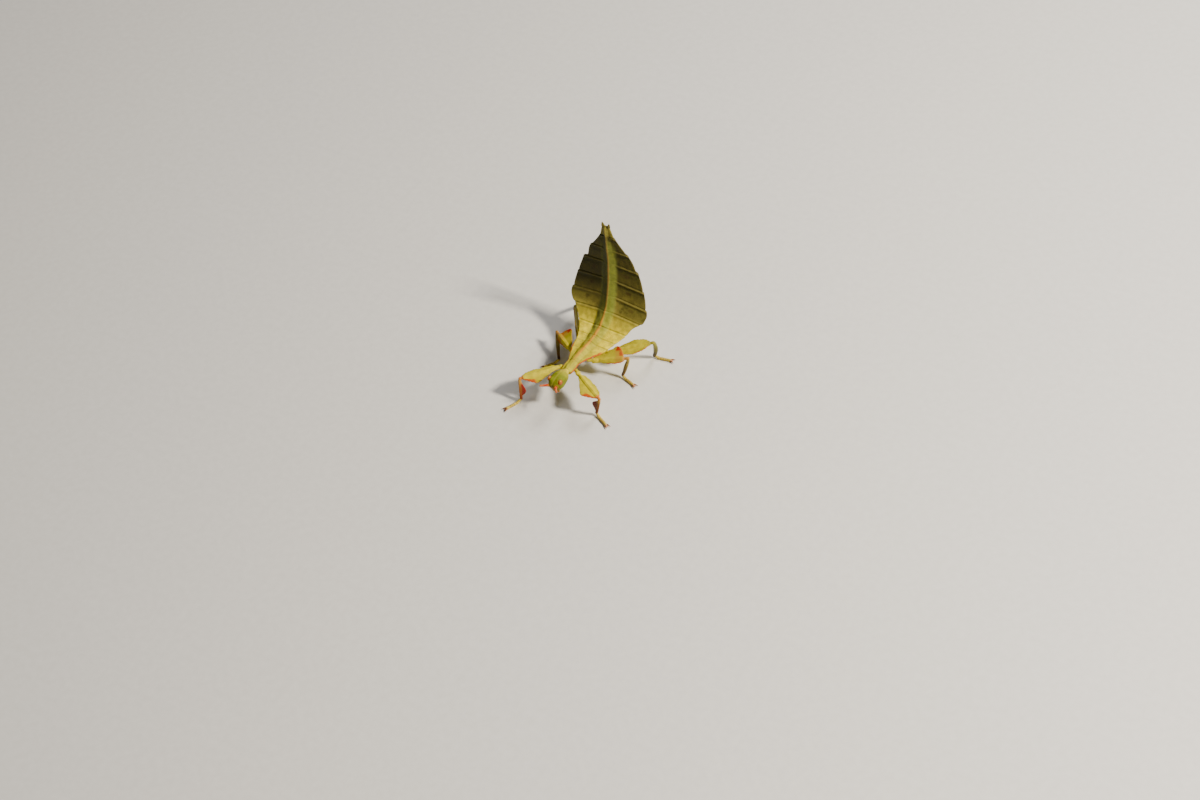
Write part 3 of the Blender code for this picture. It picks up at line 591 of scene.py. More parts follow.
def leg_joints(kind, word, side):
    """Root, hip, knee, ankle and toe of one leg."""
    *body_end, femur_length, tibia_length, tarsus_length = LEG_KINDS[kind]
    femur, climb, tibia, tarsus, _ = STANCE[kind + "_" + word]
    root, hip = (Vector((side * x, y, z)) for x, y, z in body_end)
    knee = hip + heading_vector(femur, climb) * femur_length
    reach = math.sqrt(tibia_length ** 2 - (knee.z - ANKLE_HEIGHT) ** 2)
    ankle = knee + heading_vector(tibia) * reach
    ankle.z = ANKLE_HEIGHT
    toe = ankle + heading_vector(tarsus) * tarsus_length
    toe.z = SOLE_HEIGHT
    return root, hip, knee, ankle, toe


def round_limb(name, stations, finish, sides=20, floor=False):
    """Round limb from stations of (place, axes, half width, half height, along)."""
    turn = ring_turns(sides)
    loft = Loft()
    for place, axes, wide, tall, along in stations:
        local = np.stack((wide * np.sin(turn), np.zeros(sides), tall * np.cos(turn)), axis=1)
        ring = local @ np.array(axes).T + np.array(place)
        if floor:
            ring[:, 2] = np.maximum(ring[:, 2], 0.0)
        loft.add(ring, local[:, 0], along, np.zeros(sides), 0.5 + 0.5 * np.cos(turn))
    return loft.mesh(name, finish)


def straight_limb(name, start, end, marks, along, finish, sides):
    """Straight round limb from marks of (share of the way, radius)."""
    way = (end - start).normalized()
    axes, length = limb_axes(way), (end - start).length
    stations = [(start + way * t * length, axes, radius, radius, along) for t, radius in marks]
    return round_limb(name, stations, finish, sides)


def ball_mesh(name, centre, radius, finish, stretch, along=0.0, sides=20):
    """Closed ball, stretched along the three axes."""
    axes = Matrix.Identity(3)
    stations = []
    for angle in np.linspace(0.06, math.pi - 0.06, 13):
        place = Vector(centre) + Vector((0.0, -math.cos(angle) * radius * stretch[1], 0.0))
        wide = radius * math.sin(angle)
        stations.append((place, axes, wide * stretch[0], wide * stretch[2], along))
    return round_limb(name, stations, finish, sides)


def lobe_curve(t, lobe):
    """Width of a femur's lobe along the femur."""
    width, peak, fullness, root = lobe
    rise = width * blend(root * ease(t / LOBE_ROOT_SPAN), 1.0, ease(t / peak))
    fall = width * (1.0 - np.clip((t - peak) / (1.0 - peak), 0.0, 1.0) ** fullness)
    return np.where(t < peak, rise, fall)


def femur_mesh(label, kind, side, hip, knee, setback):
    """Thigh with a rounded core, two thin toothed lobes and a keel on top."""
    way = (knee - hip).normalized()
    axes = np.array(limb_axes(way, STANCE[label][-1]))
    end = (knee - hip).length - setback
    lead, trail = FEMUR_LOBES[kind]
    phase = FEMUR_PHASE[kind]
    # A web joins the left middle thigh to the body behind it.
    webbed = label == "mid_left"
    first = -1.0 if webbed else -0.35
    stations = (np.linspace(first, 0.2, 14), np.linspace(0.4, end, 62), [end + 0.05, end + 0.12])
    loft = Loft()
    for d in np.concatenate(stations):
        t = float(np.clip((d - FEMUR_START) / (end - FEMUR_START), 0.0, 1.0))
        core = blend(*FEMUR_CORE, float(ease(3.0 * t)))
        tall = blend(*FEMUR_HEIGHT, float(ease(t)))
        if d < 0.3:
            core, tall = FEMUR_ROOT, FEMUR_ROOT
        closing = math.sqrt(max(0.02, 1.0 - max(0.0, (d - end + 0.10) / 0.22) ** 2))
        saw = 1.0 - (t * FEMUR_TEETH + phase) % 1.0
        tooth = FEMUR_TOOTH * saw * float(ease((t - 0.42) / 0.2)) * (t < 0.975)
        ripple = FEMUR_RIPPLE[0] * math.sin(t * FEMUR_RIPPLE[1] + phase) * float(ease(t / 0.2))
        loop = []
        for sign in (1.0, -1.0):
            lobe = lead if sign * side > 0.0 else trail
            base = core + BLADE_MARGIN + float(lobe_curve(np.float64(t), lobe))
            if webbed and sign * side < 0.0:
                web = NOTCH_WEB * float(ease((d + 1.0) / 0.5)) * (1.0 - float(ease((d - 0.4) / 1.4)))
                base = max(base, core + BLADE_MARGIN + web)
            width = (base + (tooth if base > core + 0.2 else 0.3 * tooth) + ripple) * closing
            inner = core * closing
            width = max(width, inner + 0.03)
            x, near = side_places(width, inner, *FEMUR_STEPS)
            share = np.clip((x - inner) / max(width - inner, 0.01), 0.0, 1.0)
            half = 0.5 * (blend(*BLADE_THICKNESS, share) * closing) * dome(near)
            swell = np.maximum((tall * closing - 0.15) * dome(np.clip(x / inner, 0.0, 1.0)), 0.0)
            keel = 0.05 * bump(x, 0.07) * float(ease(t / 0.1)) * closing
            wave = 0.05 * share * math.sin(t * 9.0 + phase * 6.0 + sign) + 0.04 * share ** 2
            loop.append(half_loop(sign, x, half + swell + keel + wave, -half - swell + wave, share))
        across, out, share, top = np.vstack(loop).T
        local = np.stack((across, np.zeros(len(out)), out), axis=1)
        leading = np.where(across * side > 0.0, 1.0, -1.0)
        loft.add(local @ axes.T + np.array(hip + way * d), leading * np.abs(across), t, share, top)
    return loft.mesh("femur_" + label, THIGHS[kind])


def tibia_mesh(label, kind, side, knee, ankle, femur_way):
    """Shin with four low ridges and its lobe on the inner side."""
    way = (ankle - knee).normalized()
    inward = Vector((-side, 0.0, 0.0))
    inward = (inward - way * inward.dot(way)).normalized()
    axes = np.array(Matrix((inward, way, inward.cross(way))).transposed())
    full = (ankle - knee).length
    turn = ring_turns(TIBIA_SIDES)
    loft = Loft()
    for t in np.linspace(-0.03, 1.02, 44):
        within = min(max(t, 0.0), 1.0)
        radius = TIBIA_RADIUS[kind] * min(1.0, 0.74 + 2.4 * within, 0.84 + 1.4 * (1.0 - within))
        if t < 0.0 or t > 1.0:
            radius *= 0.7
        along = min(1.0, max(0.0, (within - 0.13) / 0.72))
        lobe = TIBIA_LOBE[kind] * math.sin(math.pi * along) ** 1.5
        if kind == "fore":
            lobe += TIBIA_TOOTH * (1.0 - (within * TIBIA_TEETH) % 1.0) * float(ease((lobe - 0.15) / 0.3))
        bow = np.array(femur_way) * TIBIA_BOW[kind] * math.sin(math.pi * within)
        toward = ease((np.sin(turn) - 0.25) / 0.6)
        x = radius * np.sin(turn) + lobe * toward
        z = radius * np.cos(turn) * (1.0 + 0.10 * np.cos(4.0 * turn))
        z = z * (1.0 - 0.55 * toward * min(1.0, lobe / 0.3))
        local = np.stack((x, np.zeros(TIBIA_SIDES), z), axis=1)
        loft.add(local @ axes.T + np.array(knee + way * t * full) + bow, x, within,
                 toward * min(1.0, lobe / 0.5), 0.5 + 0.5 * np.cos(turn))
    return loft.mesh("tibia_" + label, SHINS[kind])


def tarsus_mesh(label, ankle, toe):
    """Foot of five segments that widen to their ends, flat below, with a pad before the claws."""
    flat = Vector((toe.x - ankle.x, toe.y - ankle.y, 0.0))
    axes = limb_axes(flat.normalized())
    stations = []

    def add(t, height, wide, tall, along):
        place = Vector((ankle.x, ankle.y, 0.0)) + flat * t
        place.z = height
        stations.append((place, axes, wide, tall, along))

    for start, end in zip(TARSOMERE_ENDS, TARSOMERE_ENDS[1:]):
        for part in TARSOMERE_MARKS:
            t = blend(start, end, part)
            swell = 0.80 + 0.24 * math.sin(0.5 * math.pi * min(1.0, part / 0.75))
            swell -= 0.22 * float(ease((part - 0.86) / 0.12))
            if start == 0.0:
                swell = blend(0.86, swell, float(ease(part)))
            height = blend(ankle.z, SOLE_HEIGHT, float(ease(t / 0.33)))
            add(t, height, TARSUS_RADIUS * swell * 0.82, TARSUS_RADIUS * swell * 0.94, t)
    for t, wide, tall in PAD_RINGS:
        add(t, PAD_HEIGHT, wide, tall, 1.0)
    stations.insert(0, (stations[0][0] - flat.normalized() * 0.12, axes, 0.14, 0.14, 0.0))
    return round_limb("tarsus_" + label, stations, FOOT, floor=True)


def knee_setback(femur_way, tibia_way):
    """How far the femur's blade stops short of the knee."""
    fold = math.acos(max(-1.0, min(1.0, -femur_way.dot(tibia_way))))
    clear = KNEE_RADIUS + GAP
    return max(clear, (clear + 0.30 * math.cos(fold)) / math.sin(fold)) - 0.12


def leg_meshes(kind, side, word):
    """All lofts of one leg, sunk into one another."""
    root, hip, knee, ankle, toe = leg_joints(kind, word, side)
    label = kind + "_" + word
    femur_way = (knee - hip).normalized()
    length = (hip - root).length
    coxa = [(t, COXA_RADIUS * (0.72 + 0.28 * math.sin(math.pi * min(1.0, max(0.0, t))) ** 0.5))
            for t in np.linspace(-0.75 / length, 1.0 + 0.10 / length, 14)]
    setback = knee_setback(femur_way, (ankle - knee).normalized())
    axes, full = limb_axes(femur_way), (knee - hip).length
    stub = [(hip + femur_way * (full + d), axes, radius, radius, 1.0) for d, radius in (
        (-setback - 0.25, 0.22), (-setback * 0.6, 0.23), (-0.1, 0.24), (0.08, 0.20), (0.17, 0.10))]
    return [
        straight_limb("coxa_" + label, root, hip, coxa, 0.0, THIGHS[kind], 24),
        femur_mesh(label, kind, side, hip, knee, setback),
        round_limb("knee_" + label, stub, THIGHS[kind]),
        tibia_mesh(label, kind, side, knee, ankle, femur_way),
        tarsus_mesh(label, ankle, toe),
    ]


def mouth_meshes():
    """Upper lip in two lobes, lower lip, and the palps on both sides."""
    meshes = [
        ball_mesh(name, head_point(1.0, (side, forward, height)), radius, HEAD, stretch, along)
        for name, (side, forward, height, radius, stretch, along) in MOUTH_BALLS.items()]
    for side, _ in reversed(SIDES):
        start = Vector(head_point(side, (0.40, 2.40, -0.90)))
        bend = start + Vector((side * 0.08, -0.30, -0.22))
        tip = bend + Vector((side * -0.06, -0.10, -0.30))
        for part, (low, high) in enumerate(((start, bend), (bend, tip))):
            marks = [(t, 0.17 * math.sqrt(max(0.03, 1.0 - ((t - 0.5) / 0.78) ** 2)) * (1.0 - 0.12 * part))
                     for t in np.linspace(-0.25, 1.2, 10)]
            meshes.append(straight_limb("palp", low, high, marks, 0.59, HEAD, 14))
    return meshes


def tail_meshes():
    """Two short pegs at the tip of the abdomen."""
    tip = float(PLATE_ENDS[-1])
    turn = Matrix.Rotation(float(back_slopes(tip)), 3, "X")
    meshes = []
    for side, _ in reversed(SIDES):
        stations = []
        for t in np.linspace(-0.45, 1.0, 14):
            outer = max(t, 0.0)
            radius = 0.24 * max(0.1, 1.0 - outer) ** 0.55
            place = on_back(np.array([tip]), np.array([side * (0.50 + 0.10 * outer)]), -0.42, 0.50 * t)[0]
            stations.append((Vector(place), turn, radius, radius, 0.642))
        meshes.append(round_limb("peg", stations, BODY, 16))
    return meshes


def claw_mesh(axes, toe, sign):
    """One curved claw on a foot."""
    stations = []
    for t in np.linspace(0.0, 1.0, 16):
        radius = CLAW_RADIUS * (1.0 - t) ** 0.6 + CLAW_TIP_RADIUS
        height = 0.10 + 0.09 * math.sin(math.pi * t) - 0.10 * t
        local = Vector((sign * (0.09 + 0.30 * t), -0.22 + 0.72 * t, height))
        place = toe - Vector((0, 0, SOLE_HEIGHT - PAD_HEIGHT)) + axes @ local
        stations.append((place, axes, radius, radius * 1.15, t))
    return round_limb("claw", stations, 0, 12, floor=True)


def join_skins(meshes, name, materials):
    """One closed surface from many that are sunk into one another."""
    objects = []
    for mesh in meshes:
        for material in materials:
            mesh.materials.append(material)
        objects.append(link_object(mesh.name, mesh))
    base = objects[0]
    gathered = bpy.data.collections.new(name + "_pieces")
    for item in objects[1:]:
        gathered.objects.link(item)
    step = base.modifiers.new("join", "BOOLEAN")
    step.operation = "UNION"
    step.operand_type = "COLLECTION"
    step.collection = gathered
    step.solver = "MANIFOLD"
    joined = evaluated_mesh(base)
    if len(joined.polygons) < len(meshes[0].polygons):
        raise RuntimeError("the skin's pieces didn't join")
    for item in objects:
        bpy.data.objects.remove(item, do_unlink=True)
    bpy.data.collections.remove(gathered)
    return joined


def join_plain(meshes):
    """One mesh from several closed shells."""
    shape = bmesh.new()
    for mesh in meshes:
        shape.from_mesh(mesh)
    return plain_mesh(shape, "joined")


def patch_of(mesh, keep):
    """Copy of the faces of a mesh that pass a test."""
    shape = bmesh.new()
    shape.from_mesh(mesh)
    bmesh.ops.delete(shape, geom=[face for face in shape.faces if not keep(face)], context="FACES")
    return plain_mesh(shape, "patch")


def plain_mesh(shape, name):
    """A mesh from a bmesh, which is freed."""
    made = bpy.data.meshes.new(name)
    shape.to_mesh(made)
    shape.free()
    return made


def evaluated_mesh(item):
    """Plain mesh of an object with its modifiers applied."""
    bpy.context.view_layer.update()
    return bpy.data.meshes.new_from_object(item.evaluated_get(bpy.context.evaluated_depsgraph_get()))


def link_object(name, data):
    """An object in the scene."""
    item = bpy.data.objects.new(name, data)
    bpy.context.scene.collection.objects.link(item)
    return item


def settle(mesh):
    """Move a mesh from the insect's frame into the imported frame."""
    mesh.transform(Matrix.Translation(SLIDE * MM))
    mesh.shade_smooth()


def new_piece(name, mesh, nodes=()):
    """Put a finished mesh in the scene as a piece that rides on the body."""
    mesh.name = name
    item = link_object(name, mesh)
    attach(item, "root")
    if nodes:
        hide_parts(*nodes)


def node(tree, kind, inputs=None, **settings):
    """One node with its settings; an input is a constant, a socket or a Value."""
    made = tree.nodes.new(kind)
    for key, value in settings.items():
        setattr(made, key, value)
    for key, value in (inputs or {}).items():
        value = getattr(value, "socket", value)
        if isinstance(value, bpy.types.NodeSocket):
            tree.links.new(value, made.inputs[key])
        else:
            made.inputs[key].default_value = value
    return made


class Value:
    """A number in a node tree. Arithmetic on it adds math nodes."""

    def __init__(self, tree, socket):
        self.tree, self.socket = tree, socket

    def maths(self, operation, *numbers):
        """Result of a math node."""
        made = node(self.tree, "ShaderNodeMath", dict(enumerate(numbers)), operation=operation)
        return Value(self.tree, made.outputs[0])

    def __add__(self, other):
        return self.maths("ADD", self, other)

    def __sub__(self, other):
        return self.maths("SUBTRACT", self, other)

    def __rsub__(self, other):
        return self.maths("SUBTRACT", other, self)

    def __mul__(self, other):
        return self.maths("MULTIPLY", self, other)

    def __truediv__(self, other):
        return self.maths("DIVIDE", self, other)

    def __neg__(self):
        return self.maths("MULTIPLY", self, -1.0)

    def __abs__(self):
        return self.maths("ABSOLUTE", self)

    def line(self, slope, start):
        """Straight line of the value."""
        return self.maths("MULTIPLY_ADD", self, slope, start)

    def larger(self, other):
        """The larger of two values."""
        return self.maths("MAXIMUM", self, other)

    def soft(self, low, high):
        """Smooth step up between two limits, as a mask."""
        made = node(self.tree, "ShaderNodeMapRange", {0: self, 1: low, 2: high, 3: 0.0, 4: 1.0},
                    interpolation_type="SMOOTHSTEP")
        return Value(self.tree, made.outputs[0])

    def fade(self, low, high):
        """Smooth step down between two limits, as a mask."""
        return 1.0 - self.soft(low, high)


def opaque(colour):
    """A plain colour with its alpha; a socket stays as it is."""
    return (*colour, 1.0) if isinstance(colour, tuple) and len(colour) == 3 else colour


def times(colour, factor):
    """A plain colour made lighter or darker."""
    return tuple(factor * c for c in colour)


def between(first, second, share):
    """Plain mix of two colours."""
    return tuple(blend(a, b, share) for a, b in zip(first, second))


def mix(tree, factor, first, second, way="MIX"):
    """A colour mixed from two."""
    inputs = {0: factor, 6: opaque(first), 7: opaque(second)}
    return node(tree, "ShaderNodeMix", inputs, data_type="RGBA", blend_type=way).outputs[2]


def colour_curve(tree, factor, stops):
    """A colour ramp from (place, colour) stops."""
    made = node(tree, "ShaderNodeValToRGB", {0: factor})
    elements = made.color_ramp.elements
    while len(elements) < len(stops):
        elements.new(0.5)
    for element, (place, colour) in zip(elements, stops):
        element.position = place
        element.color = opaque(colour)
    return made.outputs[0]


def back_mask(tree, along, stops):
    """Mask along the back from (millimetre, value) stops, as a curve of straight pieces."""
    made = node(tree, "ShaderNodeFloatCurve", {"Value": along})
    points = made.mapping.curves[0].points
    places = [(s / BACK_SPAN, value) for s, value in [(0.0, 0.0)] + stops] + [(1.0, 0.0)]
    while len(points) < len(places):
        points.new(0.5, 0.0)
    for point, place in zip(points, places):
        point.location = place
        point.handle_type = "VECTOR"
    made.mapping.update()
    return Value(tree, made.outputs[0])


def new_tree(name, kind, inputs, outputs):
    """A node group with its sockets: its tree, the inputs' sockets and the outputs' sockets."""
    tree = bpy.data.node_groups.new(name, kind + "NodeTree")
    for way, sockets in (("INPUT", inputs), ("OUTPUT", outputs)):
        for label, socket_kind, *default in sockets:
            socket = tree.interface.new_socket(name=label, in_out=way, socket_type="NodeSocket" + socket_kind)
            if default:
                socket.default_value = default[0]
    return tree, node(tree, "NodeGroupInput").outputs, node(tree, "NodeGroupOutput").inputs


def use_group(tree, name, inputs):
    """The outputs of a shared group placed in a material."""
    made = node(tree, "ShaderNodeGroup", inputs, node_tree=bpy.data.node_groups[name])
    return [Value(tree, socket) for socket in made.outputs]


def grain_group():
    """Fine granules and soft mottling of an insect's skin."""
    tree, given, wanted = new_tree(
        "Skin Grain", "Shader", (("Vector", "Vector"),), (("Height", "Float"), ("Tone", "Float")))
    cells = node(tree, "ShaderNodeTexVoronoi", {"Vector": given["Vector"], "Scale": 7000.0})
    broad, rough = (
        node(tree, "ShaderNodeTexNoise", {
            "Vector": given["Vector"], "Scale": scale, "Detail": detail, "Roughness": roughness})
        for scale, detail, roughness in ((1100.0, 5.0, 0.6), (3800.0, 3.0, 0.55)))
    dots = Value(tree, cells.outputs["Distance"]).fade(0.05, 0.55)
    height = dots.line(0.55, Value(tree, rough.outputs[0]) * 0.6)
    tree.links.new(height.socket, wanted["Height"])
    tree.links.new(Value(tree, broad.outputs[0]).soft(0.32, 0.70).socket, wanted["Tone"])


def vein_group():
    """Net of fine veins, as in a leaf."""
    tree, given, wanted = new_tree(
        "Leaf Veins", "Shader", (("Vector", "Vector"), ("Scale", "Float", 2100.0)), (("Mask", "Float"),))
    warp = node(tree, "ShaderNodeTexNoise", {"Vector": given["Vector"], "Scale": 900.0, "Detail": 2.0})
    shift = node(tree, "ShaderNodeVectorMath", {0: warp.outputs["Color"], "Scale": 0.0005}, operation="SCALE")
    moved = node(tree, "ShaderNodeVectorMath", {0: given["Vector"], 1: shift.outputs[0]}, operation="ADD")
    cells = node(tree, "ShaderNodeTexVoronoi", {"Vector": moved.outputs[0], "Scale": given["Scale"]},
                 feature="DISTANCE_TO_EDGE")
    mask = Value(tree, cells.outputs["Distance"]).fade(0.0, VEIN_WIDTH)
    tree.links.new(mask.socket, wanted["Mask"])


def band_group():
    """Soft-edged band of a value round 0."""
    tree, given, wanted = new_tree(
        "Soft Band", "Shader",
        (("Value", "Float", 0.0), ("Half Width", "Float", 0.1), ("Softness", "Float", 0.05)),
        (("Mask", "Float"),))
    half = Value(tree, given["Half Width"])
    mask = abs(Value(tree, given["Value"])).fade(half, half + given["Softness"])
    tree.links.new(mask.socket, wanted["Mask"])


class Paint:
    """A material being mixed: its coordinates, its grain, and its colour so far."""

    def __init__(self, name, subsurface):
        self.material = bpy.data.materials.new(name)
        self.material.use_nodes = True
        self.tree = self.material.node_tree
        self.shader = self.tree.nodes["Principled BSDF"]
        self.set_shader({
            "Subsurface Weight": subsurface, "Subsurface Radius": (0.7, 1.0, 0.25),
            "Subsurface Scale": 0.0006, "IOR": 1.42, "Specular IOR Level": 0.10})
        self.spot = node(self.tree, "ShaderNodeTexCoord").outputs["Object"]
        self.lumps, self.tone = use_group(self.tree, "Skin Grain", {"Vector": self.spot})

    def set_shader(self, constants):
        """Constants on the shader's own sockets."""
        for label, value in constants.items():
            self.shader.inputs[label].default_value = value

    def texture(self, kind, output, inputs, **settings):
        """A texture's value."""
        made = node(self.tree, kind, {"Vector": self.spot, **inputs}, **settings)
        return Value(self.tree, made.outputs[output])

    def maps(self):
        """Across in mm, along as stored, share of the lobe, and 1 on top, from the two maps."""
        parts = []
        for name in ("Place", "Edge"):
            place = node(self.tree, "ShaderNodeUVMap", uv_map=name).outputs[0]
            outputs = node(self.tree, "ShaderNodeSeparateXYZ", {0: place}).outputs
            parts += [Value(self.tree, outputs[0]), Value(self.tree, outputs[1])]
        return (parts[0] - 0.5) * MAP_SPAN, *parts[1:]

    def place(self):
        """Where the surface is in the insect's own frame, in mm."""
        parts = node(self.tree, "ShaderNodeSeparateXYZ", {0: self.spot}).outputs
        x, y, z = (Value(self.tree, part) / MM for part in parts)
        return x - SLIDE.x, y - SLIDE.y, z

    def near_pair(self, place, inner, outer):
        """Mask that is 1 close to a place in the head and to its mirror image."""
        x, y, z = self.place()
        here = node(self.tree, "ShaderNodeCombineXYZ", {0: abs(x), 1: y, 2: z}).outputs[0]
        target = tuple(head_point(1.0, place))
        far = node(self.tree, "ShaderNodeVectorMath", {0: here, 1: target}, operation="DISTANCE")
        return Value(self.tree, far.outputs["Value"]).fade(inner, outer)

    def band(self, value, half, edge):
        """Mask of a soft band of a value round 0."""
        return use_group(self.tree, "Soft Band", {"Value": value, "Half Width": half, "Softness": edge})[0]

    def veins(self, scale):
        """Mask of the net of veins."""
        return use_group(self.tree, "Leaf Veins", {"Vector": self.spot, "Scale": scale})[0]

    def ramp(self, factor, stops):
        """A colour from (place, colour) stops."""
        return colour_curve(self.tree, factor, stops)

    def back_ramp(self, along, stops):
        """A colour along the back from stops in millimetres."""
        return colour_curve(self.tree, along, [(s / BACK_SPAN, colour) for s, colour in stops])

    def add(self, mask, colour):
        """Lay a colour over the colour so far."""
        self.colour = mix(self.tree, mask, self.colour, colour)

    def vary(self, low, high):
        """Make the colour so far darker and lighter by the grain's tone."""
        shade = self.tone.line(high - low, low)
        grey = node(self.tree, "ShaderNodeCombineColor", {0: shade, 1: shade, 2: shade}).outputs[0]
        self.colour = mix(self.tree, 1.0, self.colour, grey, "MULTIPLY")

    def finish(self, height, gloss, strength, distance=0.00005):
        """Link colour, roughness and bump to the shader; gloss holds the tone's slope and start."""
        roughness = self.tone.line(*gloss)
        link_surface(self.tree, self.shader, self.colour, height, roughness, strength, distance)
        return self.material


def link_surface(tree, shader, colour, height, roughness, strength, distance):
    """Link colour, roughness and bump to a shader."""
    tree.links.new(colour, shader.inputs["Base Color"])
    tree.links.new(roughness.socket, shader.inputs["Roughness"])
    lumps = node(tree, "ShaderNodeBump", {"Strength": strength, "Distance": distance, "Height": height})
    tree.links.new(lumps.outputs[0], shader.inputs["Normal"])


def body_material(colours):
    """Leaf-green back with its midline, segment lines, red thorax rims, and painted light and shade on the
    raised abdomen.
    """
    paint = Paint("insect_body", 0.14)
    tone = paint.tone
    across, along, share, upper = paint.maps()
    away, right, back = abs(across), -across, along * BACK_SPAN
    lime, olive, deep, stripe, front_line, rear_line, red = (tuple(getattr(colours, name)) for name in (
        "lime", "olive", "deep", "stripe", "midline_front", "midline_rear", "red"))
    bright, rich = times(lime, 1.45), times(olive, 1.12)
    # The greens deepen up the raised abdomen, partly the insect's own deeper green and partly painted shade.
    paint.colour = paint.back_ramp(along, (
        (0.0, lime), (4.2, times(lime, 1.06)), (7.0, bright), (9.7, bright),
        (10.8, between(bright, olive, 0.52)), (12.1, between(bright, olive, 0.80)), (12.7, rich),
        (14.0, rich), (15.3, between(olive, deep, 0.55)), (17.3, deep), (25.9, deep), (26.1, TAIL),
        (28.0, TAIL)))
    # Lighter band over the core, which narrows towards the tip: partly the core's own green, partly painted
    # light on the raised core.
    pale_lime = between(lime, stripe, 0.35)
    flank = paint.back_ramp(along, (
        (0.0, pale_lime), (7.0, pale_lime), (10.0, between(lime, stripe, 0.7)), (13.0, stripe),
        (24.0, between(stripe, deep, 0.4)), (25.9, deep), (26.1, TAIL), (28.0, TAIL)))
    core = away.fade(0.95, 1.70)
    rear = back.soft(22.0, 26.0)
    paint.add(core * (1.0 - rear) + away.fade(0.45, 0.95) * rear, flank)
    # Painted shade: a deep green streak along the right side of the midrib, where the raised core turns away
    # from the light.
    painted_shade_streak = paint.back_ramp(along, (
        (0.0, lime), (7.0, (0.60, 0.56, 0.065)), (9.5, (0.38, 0.38, 0.060)), (11.8, (0.20, 0.21, 0.036)),
        (14.0, (0.125, 0.132, 0.022)), (16.2, (0.062, 0.066, 0.011)), (25.9, (0.038, 0.040, 0.008)),
        (26.3, TAIL)))
    paint.add(right.soft(0.04, 0.30) * core * back.soft(5.0, 8.0) * 0.90, painted_shade_streak)
    paint.vary(0.78, 1.16)
    # Painted light: the left lobes of the raised abdomen are a little lighter than the right ones, on the
    # side the light comes from.
    left = across.soft(0.8, 2.4) * back.soft(15.0, 17.0) * back.soft(18.0, 20.5).line(-0.6, 1.0)
    paint.add(left * 0.17, olive)
    # Painted shade: each lobe darkens towards the ridge at its rear edge, in the hollow that the ridge
    # shades.
    shade_stops, highlight_stops, crease_shade_stops = [], [], []
    for start, end in zip(PLATE_ENDS[THORAX_PLATES - 1:-2], PLATE_ENDS[THORAX_PLATES:-1]):
        shade_stops += [(start + 0.1, 0.0), (blend(start, end, 0.45), 0.35), (end - 0.50, 1.0),
                        (end - 0.30, 0.2), (end, 0.0)]
        highlight_stops += [(end - 0.42, 0.0), (end - 0.27, 1.0), (end - 0.20, 1.0), (end - 0.10, 0.0)]
        crease_shade_stops += [(end - 0.11, 0.0), (end, 1.0), (end + 0.13, 0.0)]
    raised = back.soft(11.0, 17.0) * (1.0 - core)
    shade = back_mask(paint.tree, along, shade_stops) * raised * tone.line(0.3, 0.55)
    paint.add(shade, LOBE_SHADE)
    # Uneven darker blotch on the left lobe of the fifth segment.
    blotch = back.soft(12.2, 12.9) * back.fade(14.4, 15.2) * tone.line(1.2, across).soft(1.9, 3.6)
    paint.add(blotch * tone.line(0.6, 0.30), BLOTCH)
    # Small brown spots in the middle of the fifth to seventh segments.
    for x, s, wide, tall, weight in BACK_SPOTS:
        over, ahead = (away - x) / wide, (back - s) / tall
        far = over * over + ahead * ahead + tone.line(0.8, -0.4)
        paint.add(far.fade(0.2, 1.1) * weight, BROWN_SPOT)
    veins = paint.veins(2100.0)
    paint.add(veins * tone.line(0.12, 0.02), mix(paint.tree, 0.55, paint.colour, lime))
    # Segment lines: a painted highlight on the ridge of the lobes, dimmed by painted shade on the right side,
    # and painted shade in the crease behind it.
    lobes = (1.0 - core).larger(back.soft(9.0, 12.0).line(-0.8, 0.9))
    shaded_side = right.soft(0.0, 1.5) * back.soft(14.0, 17.0)
    pale = back_mask(paint.tree, along, highlight_stops) * lobes * upper * shaded_side.line(-0.36, 0.55)
    paint.add(pale, mix(paint.tree, 0.6, paint.colour, RIDGE_HIGHLIGHT))
    paint.add(back_mask(paint.tree, along, crease_shade_stops) * lobes * 0.65, CREASE_SHADE)
    # Midline: broad and peach on the thorax, thin and duller on the raised abdomen.
    peach = paint.back_ramp(along, (
        (0.0, front_line), (10.5, front_line), (14.0, rear_line), (24.0, rear_line), (28.0, olive)))
    thin = back.soft(8.5, 12.5)
    midline = away.fade(thin.line(-0.12, 0.16), thin.line(-0.13, 0.36)) * upper * back.soft(1.2, 4.2)
    midline = midline * (1.0 - back.soft(20.0, 27.0) * 0.7)
    paint.add(midline * tone.line(0.35, 0.55), peach)
    # Rims: red on the thorax, a thin brownish edge on the abdomen.
    thorax = back.fade(5.4, 6.4)
    paint.add(tone.line(0.08, share).soft(0.90, 1.0) * thorax * 0.85, red)
    paint.add(share.soft(0.97, 0.998) * (1.0 - thorax) * 0.45, BROWN_RIM)
    return paint.finish(paint.lumps * 0.6 + veins * 0.30, (0.16, 0.48), 0.45)


